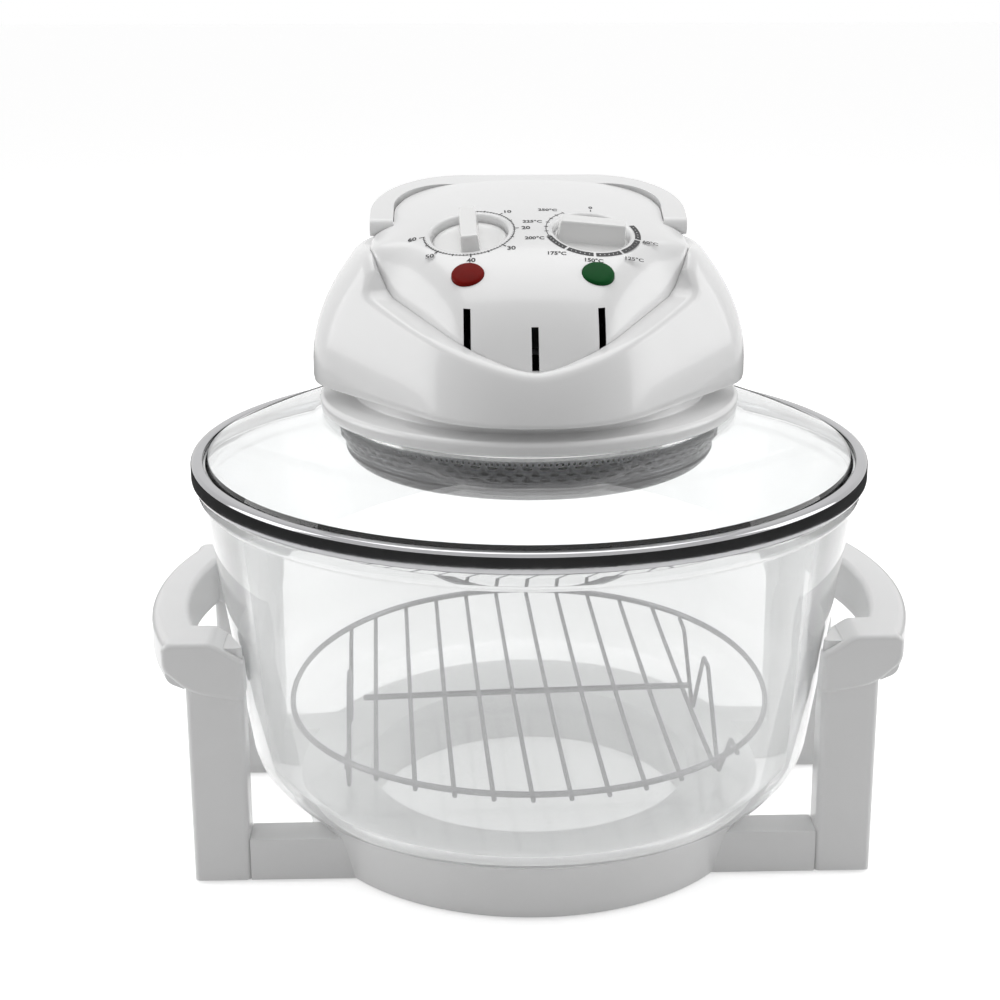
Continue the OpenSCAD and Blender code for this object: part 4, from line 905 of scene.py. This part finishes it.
knob("timer_dial_knob", -KNOB_X, 0, ("timer_knob",), "timer_control")
knob("temperature_dial_knob", KNOB_X, 90, ("temperature_knob",), "temperature_control")


def spindle(name, x, node, body):
    """Round rod with a flat, from inside its unit up into the knob."""
    def ring(r, z, flat):
        return [(min(r * math.cos(t), flat), r * math.sin(t), z)
                for t in (2 * math.pi * i / 48 for i in range(48))]

    rows = [ring(2.7, -15.2, 3), ring(3, -14.9, 3), ring(3, -5.3, 3), ring(3, -5.25, 2),
            ring(3, 2.2, 2), ring(2.7, 2.5, 1.9)]
    obj = piece(name, *placed(ring_stack(rows), face_frame(x, -KNOB_Y)), SLOT[node], (node,), 40)
    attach(obj, body)


spindle("timer_rod", -KNOB_X, "timer_spindle", "timer_control")
spindle("temperature_rod", KNOB_X, "temperature_spindle", "temperature_control")


def lens(name, x, slot, node):
    r = LENS_D / 2
    profile = [(2, -4), (r, -4), (r, 0.25), (r - 0.25, 0.6)]
    profile += [(r * math.cos(t) * 0.97, 0.6 + 0.95 * math.sin(t))
                for t in (math.radians(d) for d in (12, 24, 36, 48, 60, 72, 84))]
    obj = piece(name, *placed(lathe(profile), face_frame(x, -LAMP_Y)), slot, (node,), 50)
    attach(obj, "lid")


lens("red_lamp_lens", -LAMP_X, "lens_red", "power_lens")
lens("green_lamp_lens", LAMP_X, "lens_green", "heat_lens")


# Dials: ticks, arcs and numbers printed on the face round each knob

def sector(r0, r1, a0, a1):
    """Part of a ring, by clockwise angles from the top."""
    n = max(2, int(abs(a1 - a0) / 2))
    ring = [[(r * math.sin(math.radians(a0 + (a1 - a0) * i / n)),
              r * math.cos(math.radians(a0 + (a1 - a0) * i / n))) for i in range(n + 1)]
            for r in (r0, r1)]
    verts = ring[0] + ring[1]
    return verts, [(i, i + 1, n + 2 + i, n + 1 + i) for i in range(n)]


def tick(r0, r1, a, width):
    half = math.degrees(width / 2 / r0)
    return sector(r0, r1, a - half, a + half)


def glyphs(text, size, x, y, stretch=1.0):
    curve = bpy.data.curves.new("glyphs", "FONT")
    curve.body = text
    curve.size = size
    curve.offset = size * 0.03
    curve.resolution_u = 3
    curve.align_x = "CENTER"
    curve.align_y = "CENTER"
    obj = bpy.data.objects.new("glyphs", curve)
    bpy.context.scene.collection.objects.link(obj)
    bpy.context.view_layer.update()
    mesh = bpy.data.meshes.new_from_object(
        obj.evaluated_get(bpy.context.evaluated_depsgraph_get()))
    verts = [(v.co.x * stretch + x, v.co.y + y) for v in mesh.vertices]
    faces = [tuple(f.vertices) for f in mesh.polygons]
    bpy.data.objects.remove(obj)
    bpy.data.meshes.remove(mesh)
    return verts, faces


def printed(name, x, marks, lift=0.1):
    """Thin print that follows the cover's face round the knob at x."""
    verts, faces = merged(marks)
    spot = face_frame(x, -KNOB_Y)
    out = []
    for a, b in verts:
        p = spot @ Vector((a, b, 0))
        out.append((p.x, p.y, HEAD_Z + face_h(p.x, p.y) + lift))
    mesh = bpy.data.meshes.new(name)
    mesh.from_pydata([Vector(v) * MM for v in out], [], faces)
    mesh.materials.append(PRINT)
    obj = bpy.data.objects.new(name, mesh)
    bpy.context.scene.collection.objects.link(obj)
    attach(obj, "lid")


def timer_marks():
    marks = []
    for minute in range(0, 61):
        a = minute * 4.5
        low, high = (21.2, 24.0) if minute % 10 == 0 else (21.2, 22.9 if minute % 5 == 0 else 22.4)
        marks.append(tick(low, high, a, 0.4 if minute % 5 else 0.6))
    marks.append(sector(21.7, 22.1, 0, 270))
    for minute in (0, 10, 20, 30, 40, 50, 60):
        a = math.radians(minute * 4.5)
        marks.append(glyphs(str(minute), 4.2, 27.4 * math.sin(a), 26.4 * math.cos(a)))
    return marks


def temperature_marks():
    marks = []
    stops = (60, 100, 142, 178, 214, 250)
    for a0, a1 in zip(stops, stops[1:]):
        a0, a1 = a0 + 1.6, a1 - 1.6
        marks.append(sector(20.9, 21.9, a0, a1))
        marks.append(sector(22.6, 23.7, a0, a1))
        for i in range(6):
            marks.append(sector(21.9, 22.6, a0 + (a1 - a0) * i / 5.75,
                                a0 + (a1 - a0) * (i + 0.75) / 5.75))
    marks.append(sector(22.0, 22.4, 250, 322))
    for a in range(250, 323, 12):
        marks.append(tick(21.2, 23.1, a, 0.5))
    marks.append(tick(21.4, 23.6, 0, 0.5))
    for label, a, r in (("60", 100, 28.5), ("125", 139, 29.5), ("150", 180, 27), ("175", 217, 29),
                        ("200", 250, 29.5), ("225", 283, 29.5), ("250", 314, 29.5)):
        t = math.radians(a)
        marks.append(glyphs(label + "\u00b0C", 3.6, r * math.sin(t), r * math.cos(t)))
    marks.append(glyphs("0", 3.8, 0, 26.4))
    return marks


printed("timer_dial_print", -KNOB_X, timer_marks())
printed("temperature_dial_print", KNOB_X, temperature_marks())


# Camera, floor and light

def camera():
    data = bpy.data.cameras.new("camera")
    data.sensor_width = 36
    data.lens = 71.57
    data.shift_x = -0.0292
    cam = bpy.data.objects.new("camera", data)
    cam.location = (-0.0337, -0.966, 0.4792)
    cam.rotation_euler = (math.radians(90 - 17.41), 0, math.radians(-2))
    bpy.context.scene.collection.objects.link(cam)
    bpy.context.scene.camera = cam


WORLD_LIGHT, FLOOR_GLOW = 0.4, 0.6
FLAG_R, FLAG_H = 0.6, 0.15
LAMPS = (((0, 0.25, 1.5), (1.3, 1.0), 8), ((-1.4, 0.1, 0.7), (0.9, 1.1), 7),
         ((1.4, 0.1, 0.7), (0.9, 1.1), 7))


def area(place, target, size, power):
    data = bpy.data.lights.new("lamp", "AREA")
    data.shape = "RECTANGLE"
    data.size, data.size_y = size
    data.energy = power
    light = bpy.data.objects.new("lamp", data)
    light.location = place
    light.rotation_euler = (Vector(target) - Vector(place)).to_track_quat("-Z", "Y").to_euler()
    bpy.context.scene.collection.objects.link(light)


def seen_rays(tree):
    """Output that is 1 for what the camera, metal and glass see, and 0 for other light."""
    path = tree.nodes.new("ShaderNodeLightPath")
    seen = path.outputs["Is Camera Ray"]
    for other in ("Is Glossy Ray", "Is Transmission Ray"):
        most = tree.nodes.new("ShaderNodeMath")
        most.operation = "MAXIMUM"
        tree.links.new(seen, most.inputs[0])
        tree.links.new(path.outputs[other], most.inputs[1])
        seen = most.outputs[0]
    return seen


def stage_object(name, verts, faces, mat):
    mesh = bpy.data.meshes.new(name)
    mesh.from_pydata(verts, [], faces)
    mesh.materials.append(mat)
    obj = bpy.data.objects.new(name, mesh)
    bpy.context.scene.collection.objects.link(obj)
    return obj


def studio():
    world = bpy.data.worlds.new("studio")
    bpy.context.scene.world = world
    world.use_nodes = True
    back = world.node_tree.nodes["Background"]
    back.inputs["Color"].default_value = (1, 1, 1, 1)
    between(world.node_tree, seen_rays(world.node_tree), WORLD_LIGHT, 1.0,
            back.inputs["Strength"])

    mat = bpy.data.materials.new("floor")
    mat.use_nodes = True
    bsdf = mat.node_tree.nodes["Principled BSDF"]
    bsdf.inputs["Base Color"].default_value = (0.8, 0.8, 0.8, 1)
    bsdf.inputs["Roughness"].default_value = 0.8
    bsdf.inputs["Emission Color"].default_value = (1, 1, 1, 1)
    between(mat.node_tree, seen_rays(mat.node_tree), 0.0, FLOOR_GLOW,
            bsdf.inputs["Emission Strength"])
    stage_object("floor", [(-6, -6, 0), (6, -6, 0), (6, 6, 0), (-6, 6, 0)], [(0, 1, 2, 3)], mat)

    # A dark band round the object that only its polished metal and gloss reflect
    dark = bpy.data.materials.new("flag")
    dark.use_nodes = True
    bsdf = dark.node_tree.nodes["Principled BSDF"]
    bsdf.inputs["Base Color"].default_value = (0.01, 0.01, 0.01, 1)
    n = 64
    verts = [(FLAG_R * math.cos(2 * math.pi * i / n), FLAG_R * math.sin(2 * math.pi * i / n), z)
             for z in (0.002, FLAG_H) for i in range(n)]
    flag = stage_object("flag", verts, ring_faces(2, n), dark)
    flag.visible_camera = False
    flag.visible_diffuse = False
    flag.visible_transmission = False
    flag.visible_shadow = False

    for place, size, power in LAMPS:
        area(place, (0, 0, 0.22), size, power)


camera()
studio()
bpy.context.scene.view_settings.view_transform = "Standard"
